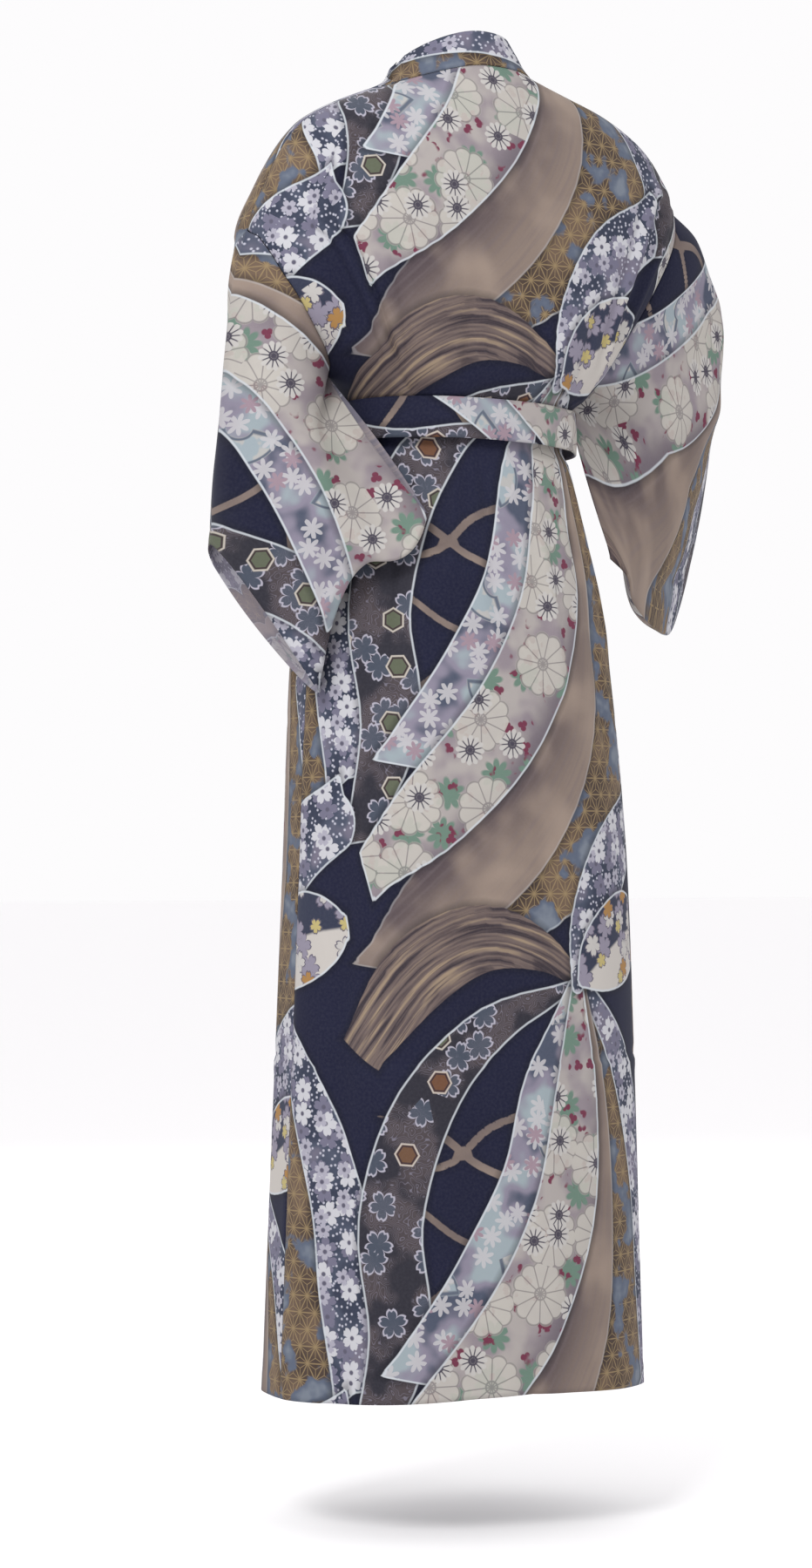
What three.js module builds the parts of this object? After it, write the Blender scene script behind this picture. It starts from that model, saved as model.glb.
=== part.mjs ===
import * as THREE from 'three';

// A kimono in worn form with its own belt, in millimetres, Z up.
// The wearer faces -Y and the wearer's left is +X. The origin is the held point
// in the middle of the neck at the height of the back neck seam.

// Cloth and seams
const WALL = 1.5;
const BAND = 3.0;
const SEAM = 0.3;
const OVER = 6;

// Levels
const Z_HEM_BACK = -1374;
const Z_HEM_SIDE = -1383;
const Z_NECK_BACK = -11;
const Z_NECK_SIDE = { left: -28, right: -14 };
const Z_BELT = -384;
const BELT_WIDE = 42;
const COLLAR_WIDE = 40;
const Z_COLLAR_END = -720;
const Z_OVERLAP_TOP = -292;

// Arm openings: the height of the top of the sleeve seam and of the underarm
const SEAM_TOP = { left: -191, right: -126 };
const UNDERARM = { left: -335, right: -346 };

// Middle line of the body: height, depth at the back, depth at the front, sideways shift
const MIDDLE = [
  { z: 60, back: 42, front: 36, shift: -4 },
  { z: 25, back: 51, front: 46, shift: -4 },
  { z: -11, back: 64, front: 56, shift: -4 },
  { z: -28, back: 72, front: 62, shift: -5 },
  { z: -50, back: 84, front: 72, shift: -5 },
  { z: -85, back: 97, front: 86, shift: -5 },
  { z: -125, back: 108, front: 99, shift: -5 },
  { z: -175, back: 115, front: 110, shift: -4 },
  { z: -230, back: 119, front: 115, shift: -2 },
  { z: -290, back: 118, front: 110, shift: 0 },
  { z: -324, back: 115, front: 104, shift: 0 },
  { z: -344, back: 108, front: 97, shift: 0 },
  { z: -359, back: 97, front: 93, shift: 0 },
  { z: -374, back: 92, front: 90, shift: 0 },
  { z: -404, back: 92, front: 90, shift: 0 },
  { z: -420, back: 97, front: 94, shift: 0 },
  { z: -450, back: 106, front: 100, shift: 0 },
  { z: -500, back: 117, front: 109, shift: 0 },
  { z: -560, back: 127, front: 118, shift: 0 },
  { z: -640, back: 135, front: 126, shift: 0 },
  { z: -845, back: 143, front: 136, shift: 0 },
  { z: -1037, back: 148, front: 143, shift: 0 },
  { z: -1400, back: 158, front: 153, shift: 0 },
];

// Sides of the body: height, half width, then where the back and the front end
// fore and aft. They part only at the arm opening.
const SIDES = {
  left: [
    { z: 60, x: 40, back: 0, front: 0 },
    { z: 25, x: 50, back: 0, front: 0 },
    { z: 0, x: 62, back: 0, front: 0 },
    { z: -16, x: 69, back: 0, front: 0 },
    { z: -28, x: 81, back: 0, front: 0 },
    { z: -36, x: 103, back: 0, front: 0 },
    { z: -47, x: 132, back: 0, front: 0 },
    { z: -60, x: 160, back: 0, front: 0 },
    { z: -76, x: 185, back: 0, front: 0 },
    { z: -102, x: 207, back: 0, front: 0 },
    { z: -142, x: 228, back: 0, front: 0 },
    { z: -191, x: 246, back: 0, front: 0 },
    { z: -202, x: 245, back: 24, front: -24 },
    { z: -230, x: 236, back: 46, front: -44 },
    { z: -268, x: 212, back: 56, front: -54 },
    { z: -304, x: 184, back: 48, front: -46 },
    { z: -325, x: 164, back: 29, front: -25 },
    { z: -335, x: 153, back: 6, front: 6 },
    { z: -346, x: 140, back: 0, front: 0 },
    { z: -354, x: 130, back: 0, front: 0 },
    { z: -363, x: 122, back: 0, front: 0 },
    { z: -376, x: 118, back: 0, front: 0 },
    { z: -404, x: 117, back: 0, front: 0 },
    { z: -420, x: 124, back: 0, front: 0 },
    { z: -450, x: 135, back: 0, front: 0 },
    { z: -500, x: 150, back: 0, front: 0 },
    { z: -560, x: 163, back: 0, front: 0 },
    { z: -640, x: 172, back: 0, front: 0 },
    { z: -845, x: 180, back: 0, front: 0 },
    { z: -1037, x: 188, back: 0, front: 0 },
    { z: -1400, x: 203, back: 0, front: 0 },
  ],
  right: [
    { z: 60, x: 40, back: 0, front: 0 },
    { z: 25, x: 52, back: 0, front: 0 },
    { z: 5, x: 64, back: 0, front: 0 },
    { z: -6, x: 71, back: 0, front: 0 },
    { z: -14, x: 81, back: 0, front: 0 },
    { z: -22, x: 103, back: 0, front: 0 },
    { z: -32, x: 134, back: 0, front: 0 },
    { z: -45, x: 172, back: 0, front: 0 },
    { z: -58, x: 198, back: 0, front: 0 },
    { z: -76, x: 223, back: 0, front: 0 },
    { z: -100, x: 242, back: 0, front: 0 },
    { z: -126, x: 254, back: 0, front: 0 },
    { z: -138, x: 252, back: 24, front: -24 },
    { z: -172, x: 242, back: 46, front: -46 },
    { z: -225, x: 214, back: 56, front: -58 },
    { z: -285, x: 182, back: 45, front: -60 },
    { z: -330, x: 158, back: 18, front: -42 },
    { z: -346, x: 145, back: -10, front: -10 },
    { z: -354, x: 134, back: -5, front: -5 },
    { z: -363, x: 124, back: 0, front: 0 },
    { z: -376, x: 119, back: 0, front: 0 },
    { z: -404, x: 118, back: 0, front: 0 },
    { z: -420, x: 126, back: 0, front: 0 },
    { z: -450, x: 130, back: 0, front: 0 },
    { z: -500, x: 142, back: 0, front: 0 },
    { z: -560, x: 157, back: 0, front: 0 },
    { z: -640, x: 172, back: 0, front: 0 },
    { z: -740, x: 184, back: 0, front: 0 },
    { z: -845, x: 193, back: 0, front: 0 },
    { z: -1037, x: 201, back: 0, front: 0 },
    { z: -1400, x: 212, back: 0, front: 0 },
  ],
};

// Fullness of the level sections: 2 is an ellipse, more is boxier
const FULLNESS = [
  { z: 60, n: 2.0 },
  { z: -60, n: 2.0 },
  { z: -160, n: 2.3 },
  { z: -300, n: 2.4 },
  { z: -380, n: 2.1 },
  { z: -1400, n: 2.1 },
];

// Largest soft folds of the body: side, place round the section (0 centre back,
// 1 centre front), heights, half width in the same measure, depth (a trough is minus)
const FOLDS = [
  { side: 'left', at: 0.34, top: -70, low: -345, half: 0.05, deep: -9 },
  { side: 'right', at: 0.36, top: -80, low: -360, half: 0.05, deep: -8 },
  { side: 'left', at: 0.17, top: -250, low: -362, half: 0.045, deep: 4 },
  { side: 'right', at: 0.12, top: -255, low: -362, half: 0.045, deep: 4 },
  { side: 'left', at: 0.22, top: -520, low: -1420, half: 0.07, deep: 5 },
  { side: 'right', at: 0.16, top: -620, low: -1420, half: 0.08, deep: 4 },
  { side: 'left', at: 0.47, top: -480, low: -1420, half: 0.06, deep: 4 },
  { side: 'right', at: 0.46, top: -430, low: -1420, half: 0.06, deep: 5 },
  { side: 'left', at: 0.74, top: -420, low: -1420, half: 0.07, deep: 5 },
  { side: 'right', at: 0.7, top: -420, low: -1420, half: 0.07, deep: 5 },
];

// Front edges where the collar is sewn: height and distance across from the middle,
// plus on the wearer's own side
const EDGE = [
  { z: -14, across: 82 },
  { z: -34, across: 80 },
  { z: -60, across: 75 },
  { z: -100, across: 64 },
  { z: -150, across: 46 },
  { z: -200, across: 26 },
  { z: -250, across: 4 },
  { z: -300, across: -19 },
  { z: -340, across: -38 },
  { z: -380, across: -52 },
  { z: -450, across: -62 },
  { z: -560, across: -74 },
  { z: -720, across: -92 },
  { z: -900, across: -100 },
  { z: -1400, across: -104 },
];

// Seam between each front and its overlap
const SEAM_FRONT = [
  { z: -292, across: 8 },
  { z: -340, across: 14 },
  { z: -380, across: 20 },
  { z: -450, across: 28 },
  { z: -560, across: 36 },
  { z: -900, across: 44 },
  { z: -1400, across: 50 },
];

// Sleeves from the seam to the cuff: share of the way, fold on the arm (top), sewn
// lower edge (low), and how far the front and back layers stand out from that line
const SLEEVES = {
  left: [
    { t: 0, top: [242, 0, -191], low: [99, 115, -483], front: 10, back: 10 },
    { t: 0.25, top: [259, -3, -262], low: [136, 100, -517], front: 46, back: 28 },
    { t: 0.5, top: [264, -12, -345], low: [164, 80, -543], front: 60, back: 34 },
    { t: 0.75, top: [264, -28, -425], low: [178, 60, -590], front: 76, back: 36 },
    { t: 1, top: [256, -55, -508], low: [186, 42, -662], front: 92, back: 36 },
  ],
  right: [
    { t: 0, top: [-259, 0, -126], low: [-179, 28, -511], front: 10, back: 10 },
    { t: 0.25, top: [-298, 3, -158], low: [-207, 12, -538], front: 48, back: 24 },
    { t: 0.5, top: [-328, 1, -216], low: [-249, -25, -561], front: 56, back: 22 },
    { t: 0.75, top: [-352, -42, -268], low: [-304, -80, -574], front: 58, back: 20 },
    { t: 1, top: [-390, -114, -292], low: [-362, -140, -578], front: 54, back: 18 },
  ],
};

// Counts of steps in the grids
const STEPS = { backAcross: 24, frontAcross: 9, overlapAcross: 3, round: 32, along: 8 };

// Heights of the rows of the body from the hem up, as shares between levels
const ROWS = [
  -1380, -1295, -1205, -1120, -1035, -945, -855, -765, -690, -620, -560, -505, -455, -425,
  -402, -376, -362, -346, -335, -310, -283, -254, -222, -191, -158, -126, -102, -80, -62,
  -49, -38, -29, -22,
];

// Value of a column of a table at a height, smooth through its rows
function read(table, key, column, at) {
  const rows = table;
  const down = rows[0][key] > rows[1][key];
  const d = (r) => (down ? -r[key] : r[key]);
  const a = down ? -at : at;
  if (a <= d(rows[0])) return rows[0][column];
  if (a >= d(rows[rows.length - 1])) return rows[rows.length - 1][column];
  let i = 0;
  while (d(rows[i + 1]) < a) i += 1;
  const p0 = rows[Math.max(i - 1, 0)];
  const p1 = rows[i];
  const p2 = rows[i + 1];
  const p3 = rows[Math.min(i + 2, rows.length - 1)];
  const h = d(p2) - d(p1);
  const s = (a - d(p1)) / h;
  const slope = (q, r) => (d(r) === d(q) ? 0 : (r[column] - q[column]) / (d(r) - d(q)));
  const mid = slope(p1, p2);
  const soft = (m0, m1) => (m0 * m1 <= 0 ? 0 : (2 * m0 * m1) / (m0 + m1));
  const g0 = i === 0 ? mid : soft(slope(p0, p1), mid);
  const g1 = p3 === p2 ? mid : soft(mid, slope(p2, p3));
  const s2 = s * s;
  const s3 = s2 * s;
  return (2 * s3 - 3 * s2 + 1) * p1[column] + (s3 - 2 * s2 + s) * h * g0
    + (-2 * s3 + 3 * s2) * p2[column] + (s3 - s2) * h * g1;
}

const smooth = (s) => {
  const c = Math.min(1, Math.max(0, s));
  return c * c * (3 - 2 * c);
};
const other = (side) => (side === 'left' ? 'right' : 'left');
const signOf = (side) => (side === 'left' ? 1 : -1);

// Turn angle at which the back or front section ends on a side
function endTurn(side, z, part) {
  const n = read(FULLNESS, 'z', 'n', z);
  const deep = part === 'back' ? read(MIDDLE, 'z', 'back', z) : -read(MIDDLE, 'z', 'front', z);
  const end = read(SIDES[side], 'z', part, z);
  const share = end / deep;
  const turn = Math.acos(Math.pow(Math.abs(share), n / 2));
  return share >= 0 ? turn : Math.PI - turn;
}

// Fold height at a place on the body
function foldOf(side, p, z) {
  let sum = 0;
  for (const f of FOLDS) {
    if (f.side !== side) continue;
    const s = (p - f.at) / f.half;
    const run = (f.top - z) / (f.top - f.low);
    if (run <= 0 || run >= 1) continue;
    const open = f.low < -1400 ? smooth(run * 3) : smooth(run * 4) * smooth((1 - run) * 4);
    sum += f.deep * Math.exp(-s * s) * open;
  }
  return sum;
}

// Bare section point: p is 0 at centre back, 0.5 at the side and 1 at centre front
function bare(side, p, z) {
  if (p > 1) return bare(other(side), 2 - p, z);
  if (p < 0) return bare(other(side), -p, z);
  const part = p <= 0.5 ? 'back' : 'front';
  const n = read(FULLNESS, 'z', 'n', z);
  const deep = part === 'back' ? read(MIDDLE, 'z', 'back', z) : -read(MIDDLE, 'z', 'front', z);
  const shift = read(MIDDLE, 'z', 'shift', z);
  const end = endTurn(side, z, part);
  const q = part === 'back' ? p * 2 : (1 - p) * 2;
  const turn = q * end;
  const power = (v) => Math.sign(v) * Math.pow(Math.abs(v), 2 / n);
  const wide = read(SIDES[side], 'z', 'x', z) / power(Math.sin(end));
  const fold = foldOf(side, p, z);
  const x = wide * power(Math.sin(turn)) + fold * Math.sin(turn);
  const y = deep * power(Math.cos(turn)) + Math.sign(deep) * fold * Math.cos(turn);
  return new THREE.Vector3(signOf(side) * x + shift, y, z);
}

// Outward direction of the body surface
function outward(side, p, z) {
  const dp = 0.008;
  const dz = 4;
  const gap = z < SEAM_TOP[side] && z > UNDERARM[side];
  let lo = p - dp;
  let hi = p + dp;
  if (p <= 0.5 && hi > 0.5 && gap) hi = 0.5;
  if (p > 0.5 && lo < 0.5 + 1e-6 && gap) lo = 0.5 + 1e-6;
  const a = bare(side, hi, z).sub(bare(side, lo, z));
  const b = bare(side, p, z + dz).sub(bare(side, p, z - dz));
  const n = a.cross(b).multiplyScalar(-signOf(side));
  return n.normalize();
}

// Point on the body surface, off it by a distance
function skin(side, p, z, off) {
  const n = outward(side, p, z);
  return bare(side, p, z).addScaledVector(n, off);
}

// Share round the section where the surface lies a distance across the front
function shareAt(side, z, across) {
  const n = read(FULLNESS, 'z', 'n', z);
  const shift = read(MIDDLE, 'z', 'shift', z) * signOf(side);
  const own = across - shift >= 0 ? side : other(side);
  const end = endTurn(own, z, 'front');
  const wide = read(SIDES[own], 'z', 'x', z) / Math.pow(Math.sin(end), 2 / n);
  const ratio = Math.min(1, Math.abs(across - shift) / wide);
  const turn = Math.asin(Math.pow(ratio, n / 2));
  const p = 1 - turn / end / 2;
  return own === side ? p : 2 - p;
}

const arc = (side, z) => {
  let sum = 0;
  for (let i = 0; i < 8; i += 1) {
    sum += bare(side, 0.5 + i / 16, z).distanceTo(bare(side, 0.5 + (i + 1) / 16, z));
  }
  return sum * 2;
};

// The left side laps over the right one, so it stands off further in front
const lift = (side, p) => (side === 'left' ? OVER * smooth((p - 0.52) / 0.14) : 0);

// Closed solid from two matching grids of points, open sheet or ring
function solid(inner, outer, ring) {
  const rows = inner.length;
  const cols = inner[0].length;
  const list = [];
  const put = (v) => list.push(v.x, v.y, v.z);
  inner.forEach((r) => r.forEach(put));
  outer.forEach((r) => r.forEach(put));
  const base = rows * cols;
  const at = (i, j, k) => k * base + i * cols + (ring ? (j + cols) % cols : j);
  const faces = [];
  const quad = (a, b, c, d) => faces.push(a, b, c, a, c, d);
  const last = ring ? cols : cols - 1;
  for (let i = 0; i < rows - 1; i += 1) {
    for (let j = 0; j < last; j += 1) {
      quad(at(i, j, 1), at(i, j + 1, 1), at(i + 1, j + 1, 1), at(i + 1, j, 1));
      quad(at(i, j, 0), at(i + 1, j, 0), at(i + 1, j + 1, 0), at(i, j + 1, 0));
    }
  }
  for (let j = 0; j < last; j += 1) {
    quad(at(0, j, 0), at(0, j + 1, 0), at(0, j + 1, 1), at(0, j, 1));
    const r = rows - 1;
    quad(at(r, j, 1), at(r, j + 1, 1), at(r, j + 1, 0), at(r, j, 0));
  }
  if (!ring) {
    const c = cols - 1;
    for (let i = 0; i < rows - 1; i += 1) {
      quad(at(i, 0, 1), at(i + 1, 0, 1), at(i + 1, 0, 0), at(i, 0, 0));
      quad(at(i, c, 0), at(i + 1, c, 0), at(i + 1, c, 1), at(i, c, 1));
    }
  }
  const g = new THREE.BufferGeometry();
  g.setAttribute('position', new THREE.Float32BufferAttribute(list, 3));
  g.setIndex(faces);
  let volume = 0;
  for (let f = 0; f < faces.length; f += 3) {
    const v = [0, 1, 2].map((k) => new THREE.Vector3().fromArray(list, faces[f + k] * 3));
    volume += v[0].dot(v[1].clone().cross(v[2])) / 6;
  }
  if (volume < 0) {
    for (let f = 0; f < faces.length; f += 3) {
      const keep = faces[f + 1];
      faces[f + 1] = faces[f + 2];
      faces[f + 2] = keep;
    }
    g.setIndex(faces);
  }
  g.computeVertexNormals();
  return g;
}

// Hem height round the section
const hemAt = (p) => {
  const s = Math.abs(Math.sin(Math.min(p, 1) * Math.PI));
  return Z_HEM_BACK + (Z_HEM_SIDE - Z_HEM_BACK) * s;
};

// Neck seam height round the back
const neckAt = (side, p) => Z_NECK_BACK
  + (Z_NECK_SIDE[side] - Z_NECK_BACK) * smooth(Math.abs(p) * 2);

// Back: from the hem to the neck seam, side to side
function backPanel() {
  const inner = [];
  const outer = [];
  for (let i = 0; i < ROWS.length; i += 1) {
    const a = [];
    const b = [];
    for (let j = 0; j <= STEPS.backAcross; j += 1) {
      const u = (j / STEPS.backAcross) * 2 - 1;
      const side = u < 0 ? 'right' : 'left';
      const z0 = ROWS[i];
      const p0 = Math.abs(u) / 2;
      const low = Math.max(0, 1 - (z0 - ROWS[0]) / 200);
      const high = smooth((z0 + 90) / 68);
      const z = z0 + low * (hemAt(p0) - ROWS[0])
        + high * (neckAt(side, p0) - ROWS[ROWS.length - 1] - SEAM / 2);
      const trim = SEAM / 2 / arc(side, z);
      const gap = z < SEAM_TOP[side] + 30 && z > UNDERARM[side] - 30 ? 3.2 : 1;
      const p = Math.min(p0, 0.5 - trim * gap);
      a.push(skin(side, p, z, 0));
      b.push(skin(side, p, z, WALL));
    }
    inner.push(a);
    outer.push(b);
  }
  return solid(inner, outer, false);
}

// Front: from the side seam, the arm opening and the shoulder seam to the collar
// or to the overlap
function frontPanel(side) {
  const inner = [];
  const outer = [];
  for (let i = 0; i < ROWS.length; i += 1) {
    const z0 = ROWS[i];
    const a = [];
    const b = [];
    for (let j = 0; j <= STEPS.frontAcross; j += 1) {
      const u = j / STEPS.frontAcross;
      const high = smooth((z0 + 90) / 68);
      const zt = z0 + high * (Z_NECK_SIDE[side] - 4.2 - ROWS[ROWS.length - 1]);
      const size = arc(side, zt);
      const gap = zt < SEAM_TOP[side] + 30 && zt > UNDERARM[side] - 30 ? 3.2 : 1;
      const from = 0.5 + (SEAM / 2 / size) * gap;
      const line = zt > Z_OVERLAP_TOP
        ? read(EDGE, 'z', 'across', zt)
        : read(SEAM_FRONT, 'z', 'across', zt);
      const edge = zt > Z_OVERLAP_TOP ? Math.min(line, read(SIDES[side], 'z', 'x', zt) - 4) : line;
      const to = Math.max(from + 2 / size, shareAt(side, zt, edge) - (zt > -62 ? 2.2 : 0.35) / size);
      const p = from + (to - from) * u;
      const z = zt + Math.max(0, 1 - (z0 - ROWS[0]) / 200) * (hemAt(p) - ROWS[0]);
      a.push(skin(side, p, z, lift(side, p)));
      b.push(skin(side, p, z, lift(side, p) + WALL));
    }
    inner.push(a);
    outer.push(b);
  }
  return solid(inner, outer, false);
}

// Overlap: the narrow panel that carries the wrap, from the hem up to the collar
function overlapPanel(side) {
  const inner = [];
  const outer = [];
  const rows = ROWS.filter((z) => z < Z_OVERLAP_TOP);
  for (let i = 0; i < rows.length; i += 1) {
    const z0 = rows[i];
    const a = [];
    const b = [];
    for (let j = 0; j <= STEPS.overlapAcross; j += 1) {
      const u = j / STEPS.overlapAcross;
      const size = arc(side, z0);
      const from = shareAt(side, z0, read(SEAM_FRONT, 'z', 'across', z0)) + 0.1 / size;
      const sewn = z0 > Z_COLLAR_END - 30 ? 0.35 / size : 0;
      const to = shareAt(side, z0, read(EDGE, 'z', 'across', z0)) - sewn;
      const p = from + (to - from) * u;
      const round = p > 1 ? 2 - p : p;
      const z = z0 + Math.max(0, 1 - (z0 - ROWS[0]) / 200) * (hemAt(round) - ROWS[0]);
      a.push(skin(side, p, z, lift(side, p)));
      b.push(skin(side, p, z, lift(side, p) + WALL));
    }
    inner.push(a);
    outer.push(b);
  }
  return solid(inner, outer, false);
}

// Collar: a folded band sewn to the neck edge, standing round the neck
function collarLine() {
  const line = [];
  for (const side of ['left', 'right']) {
    const run = [];
    const start = Z_NECK_SIDE[side] - 6;
    const heights = ROWS.filter((z) => z >= Z_COLLAR_END && z < start).reverse();
    heights.push(Z_COLLAR_END);
    for (const z of heights) {
      run.push({ side, p: shareAt(side, z, read(EDGE, 'z', 'across', z)), z });
    }
    run.unshift({ side, p: 0.5, z: Z_NECK_SIDE[side] + 0.4 });
    const back = [0.08, 0.17, 0.27, 0.38].map((p) => ({ side, p, z: neckAt(side, p) + 0.2 }));
    run.unshift(...back);
    if (side === 'left') line.push(...run.reverse(), { side, p: 0, z: Z_NECK_BACK + 0.2 });
    else line.push(...run);
  }
  return line;
}

function collarBand() {
  const line = collarLine();
  const place = (c) => bare(c.side, c.p, c.z);
  const inner = [];
  const outer = [];
  const across = 3;
  for (let i = 0; i < line.length; i += 1) {
    const c = line[i];
    const prev = place(line[Math.max(0, i - 1)]);
    const next = place(line[Math.min(line.length - 1, i + 1)]);
    const along = next.sub(prev).normalize();
    const a = [];
    const b = [];
    let p = c.p;
    let z = c.z;
    const sign = signOf(c.side);
    for (let k = 0; k <= across; k += 1) {
      const off = lift(c.side, p);
      a.push(skin(c.side, p, z, off));
      b.push(skin(c.side, p, z, off + BAND));
      const n = outward(c.side, p, z);
      const walk = along.clone().cross(n).normalize();
      if (walk.dot(new THREE.Vector3(0, 0, 1)) < 0 && c.p < 0.6) walk.negate();
      if (c.p >= 0.6 && walk.x * sign > 0) walk.negate();
      const dp = bare(c.side, p + 0.004, z).sub(bare(c.side, p - 0.004, z)).divideScalar(0.008);
      const dz = bare(c.side, p, z + 2).sub(bare(c.side, p, z - 2)).divideScalar(4);
      const pp = dp.dot(dp);
      const pz = dp.dot(dz);
      const zz = dz.dot(dz);
      const det = pp * zz - pz * pz;
      const wp = walk.dot(dp);
      const wz = walk.dot(dz);
      const step = COLLAR_WIDE / across;
      p += ((wp * zz - wz * pz) / det) * step;
      z += ((wz * pp - wp * pz) / det) * step;
    }
    inner.push(a);
    outer.push(b);
  }
  return solid(inner, outer, false);
}

// Sleeve: one cloth folded over the arm. Its first ring lies on the arm opening and
// then on the free inner edge; its last ring is the open cuff.
function sleeve(side) {
  const table = SLEEVES[side];
  const pick = (t, key, k) => {
    const rows = table.map((r) => ({ t: r.t, v: k === undefined ? r[key] : r[key][k] }));
    return read(rows, 't', 'v', t);
  };
  const vec = (t, key) => new THREE.Vector3(pick(t, key, 0), pick(t, key, 1), pick(t, key, 2));
  const attached = 0.56;
  const away = new THREE.Vector3(signOf(side), 0, -0.4).normalize();
  const under = bare(side, 0.5, UNDERARM[side] + 0.5).addScaledVector(away, 3.8);
  const low = vec(0, 'low');
  const first = (s) => {
    const part = s < Math.PI ? 'front' : 'back';
    const h = s < Math.PI ? s / Math.PI : (2 * Math.PI - s) / Math.PI;
    const p = part === 'back' ? 0.5 : 0.5 + 1e-6;
    if (h <= attached) {
      const r = h / attached;
      const drop = SEAM_TOP[side] - UNDERARM[side];
      const share = 0.45 * r + 0.275 * (1 - Math.cos(r * Math.PI));
      const z = SEAM_TOP[side] - drop * share;
      const v = bare(side, p, z).addScaledVector(away, 1.6 + 2 * smooth((r - 0.35) / 0.5));
      return { v, n: outward(side, p, z), hold: 1 };
    }
    const r = (h - attached) / (1 - attached);
    const v = under.clone().lerp(low, r);
    const way = low.clone().sub(under).cross(new THREE.Vector3(0, 0, 1)).normalize();
    const face = part === 'front' ? -1 : 1;
    const sign = Math.sign(way.y) * face;
    const puff = 9 * Math.sin(Math.PI * Math.min(1, r * 0.98));
    return { v: v.addScaledVector(way, sign * puff), n: null, hold: 0 };
  };
  const mid = [];
  const holds = [];
  for (let i = 0; i <= STEPS.along; i += 1) {
    const t = i / STEPS.along;
    const top = vec(t, 'top');
    const bottom = vec(t, 'low');
    const ahead = vec(Math.min(1, t + 0.1), 'top').sub(vec(Math.max(0, t - 0.1), 'top'));
    const face = bottom.clone().sub(top).cross(ahead).normalize();
    if (face.y > 0) face.negate();
    if (side === 'left') face.set(-0.35, -0.93, 0);
    face.setZ(0).normalize();
    const ring = [];
    for (let j = 0; j < STEPS.round; j += 1) {
      const s = ((j + 0.5) / STEPS.round) * 2 * Math.PI;
      const down = 0.5 - 0.5 * Math.cos(s);
      const out = Math.sin(s) * (Math.sin(s) > 0 ? pick(t, 'front') : pick(t, 'back'));
      const round = 1 + 0.35 * (1 - down) - 0.25 * down;
      const v = top.clone().lerp(bottom, down).addScaledVector(face, out * round);
      const f = first(s);
      const blend = smooth(t / 0.4);
      const w = i === 0 ? 0 : blend;
      const slide = f.v.clone().add(top).sub(vec(0, 'top'));
      ring.push(slide.lerp(v, w));
      if (i === 0) holds.push(f);
    }
    mid.push(ring);
  }
  const rows = mid.length;
  const cols = STEPS.round;
  const inner = [];
  const outer = [];
  const centre = (i) => {
    const c = new THREE.Vector3();
    mid[i].forEach((v) => c.add(v));
    return c.divideScalar(cols);
  };
  for (let i = 0; i < rows; i += 1) {
    const a = [];
    const b = [];
    for (let j = 0; j < cols; j += 1) {
      const du = mid[i][(j + 1) % cols].clone().sub(mid[i][(j + cols - 1) % cols]);
      const dv = mid[Math.min(rows - 1, i + 1)][j].clone().sub(mid[Math.max(0, i - 1)][j]);
      const n = du.cross(dv).normalize();
      const mid0 = centre(i);
      let facing = 0;
      for (let k = 0; k < cols; k += 4) {
        const e = mid[i][(k + 1) % cols].clone().sub(mid[i][(k + cols - 1) % cols]);
        const g = mid[Math.min(rows - 1, i + 1)][k].clone().sub(mid[Math.max(0, i - 1)][k]);
        facing += e.cross(g).normalize().dot(mid[i][k].clone().sub(mid0));
      }
      if (facing < 0) n.negate();
      if (i === 0 && holds[j].hold) n.copy(holds[j].n);
      a.push(mid[i][j].clone());
      b.push(mid[i][j].clone().addScaledVector(n, WALL));
    }
    inner.push(a);
    outer.push(b);
  }
  return solid(inner, outer, true);
}

// Height of what lies on the body under the belt
function under(side, p) {
  const q = p > 1 ? 2 - p : p;
  if (q < 0.5) return WALL;
  const left = p > 1 ? other(side) === 'left' : side === 'left';
  const full = OVER + BAND;
  return left ? WALL + (full - WALL) * smooth((q - 0.5) / 0.16)
    : WALL + (full - WALL) * smooth((q - 0.5) / 0.2);
}

// How far the inner face of the belt stands off the body
function beltOff(side, p, n) {
  let reach = 0;
  for (const dz of [-28, -14, 0, 14, 28]) {
    const v = bare(side, p, Z_BELT + dz).sub(bare(side, p, Z_BELT));
    reach = Math.max(reach, Math.min(v.dot(n), 14));
  }
  return under(side, p) + SEAM + Math.max(0, reach - 0.6);
}

// Belt: a folded band round the waist, a loop of even width
function beltBand() {
  const inner = [];
  const outer = [];
  const count = 48;
  for (let k = 0; k <= 2; k += 1) {
    const a = [];
    const b = [];
    for (let j = 0; j < count; j += 1) {
      const u = (j / count) * 2;
      const side = u < 1 ? 'left' : 'right';
      const p = u < 1 ? u : 2 - u;
      const tilt = 3 * Math.cos(u * Math.PI) - (side === 'left' ? -1 : 1) * 3 * Math.sin(Math.PI * p);
      const z = Z_BELT + (k / 2 - 0.5) * BELT_WIDE + tilt;
      const n = outward(side, p, Z_BELT);
      n.z = 0;
      n.normalize();
      const off = beltOff(side, p, n);
      const v = bare(side, p, Z_BELT).addScaledVector(n, off);
      v.z = z;
      a.push(v.clone());
      b.push(v.addScaledVector(n, BAND));
    }
    inner.push(a);
    outer.push(b);
  }
  return solid(inner, outer, true);
}

// Where the belt is tied, on the wearer's right of the front
const TIE = { side: 'right', p: 0.8 };
const KNOT_DEEP = 15;

function tiePoint(off, dz) {
  const n = outward(TIE.side, TIE.p, Z_BELT);
  n.z = 0;
  n.normalize();
  const v = bare(TIE.side, TIE.p, Z_BELT).addScaledVector(n, off);
  v.z = Z_BELT + dz;
  return { v, n };
}

// Middle of the knot, seated on the belt
function knotPoint() {
  const { n } = tiePoint(0, 0);
  return tiePoint(beltOff(TIE.side, TIE.p, n) + BAND + KNOT_DEEP + SEAM + 0.4, 0);
}

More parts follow.
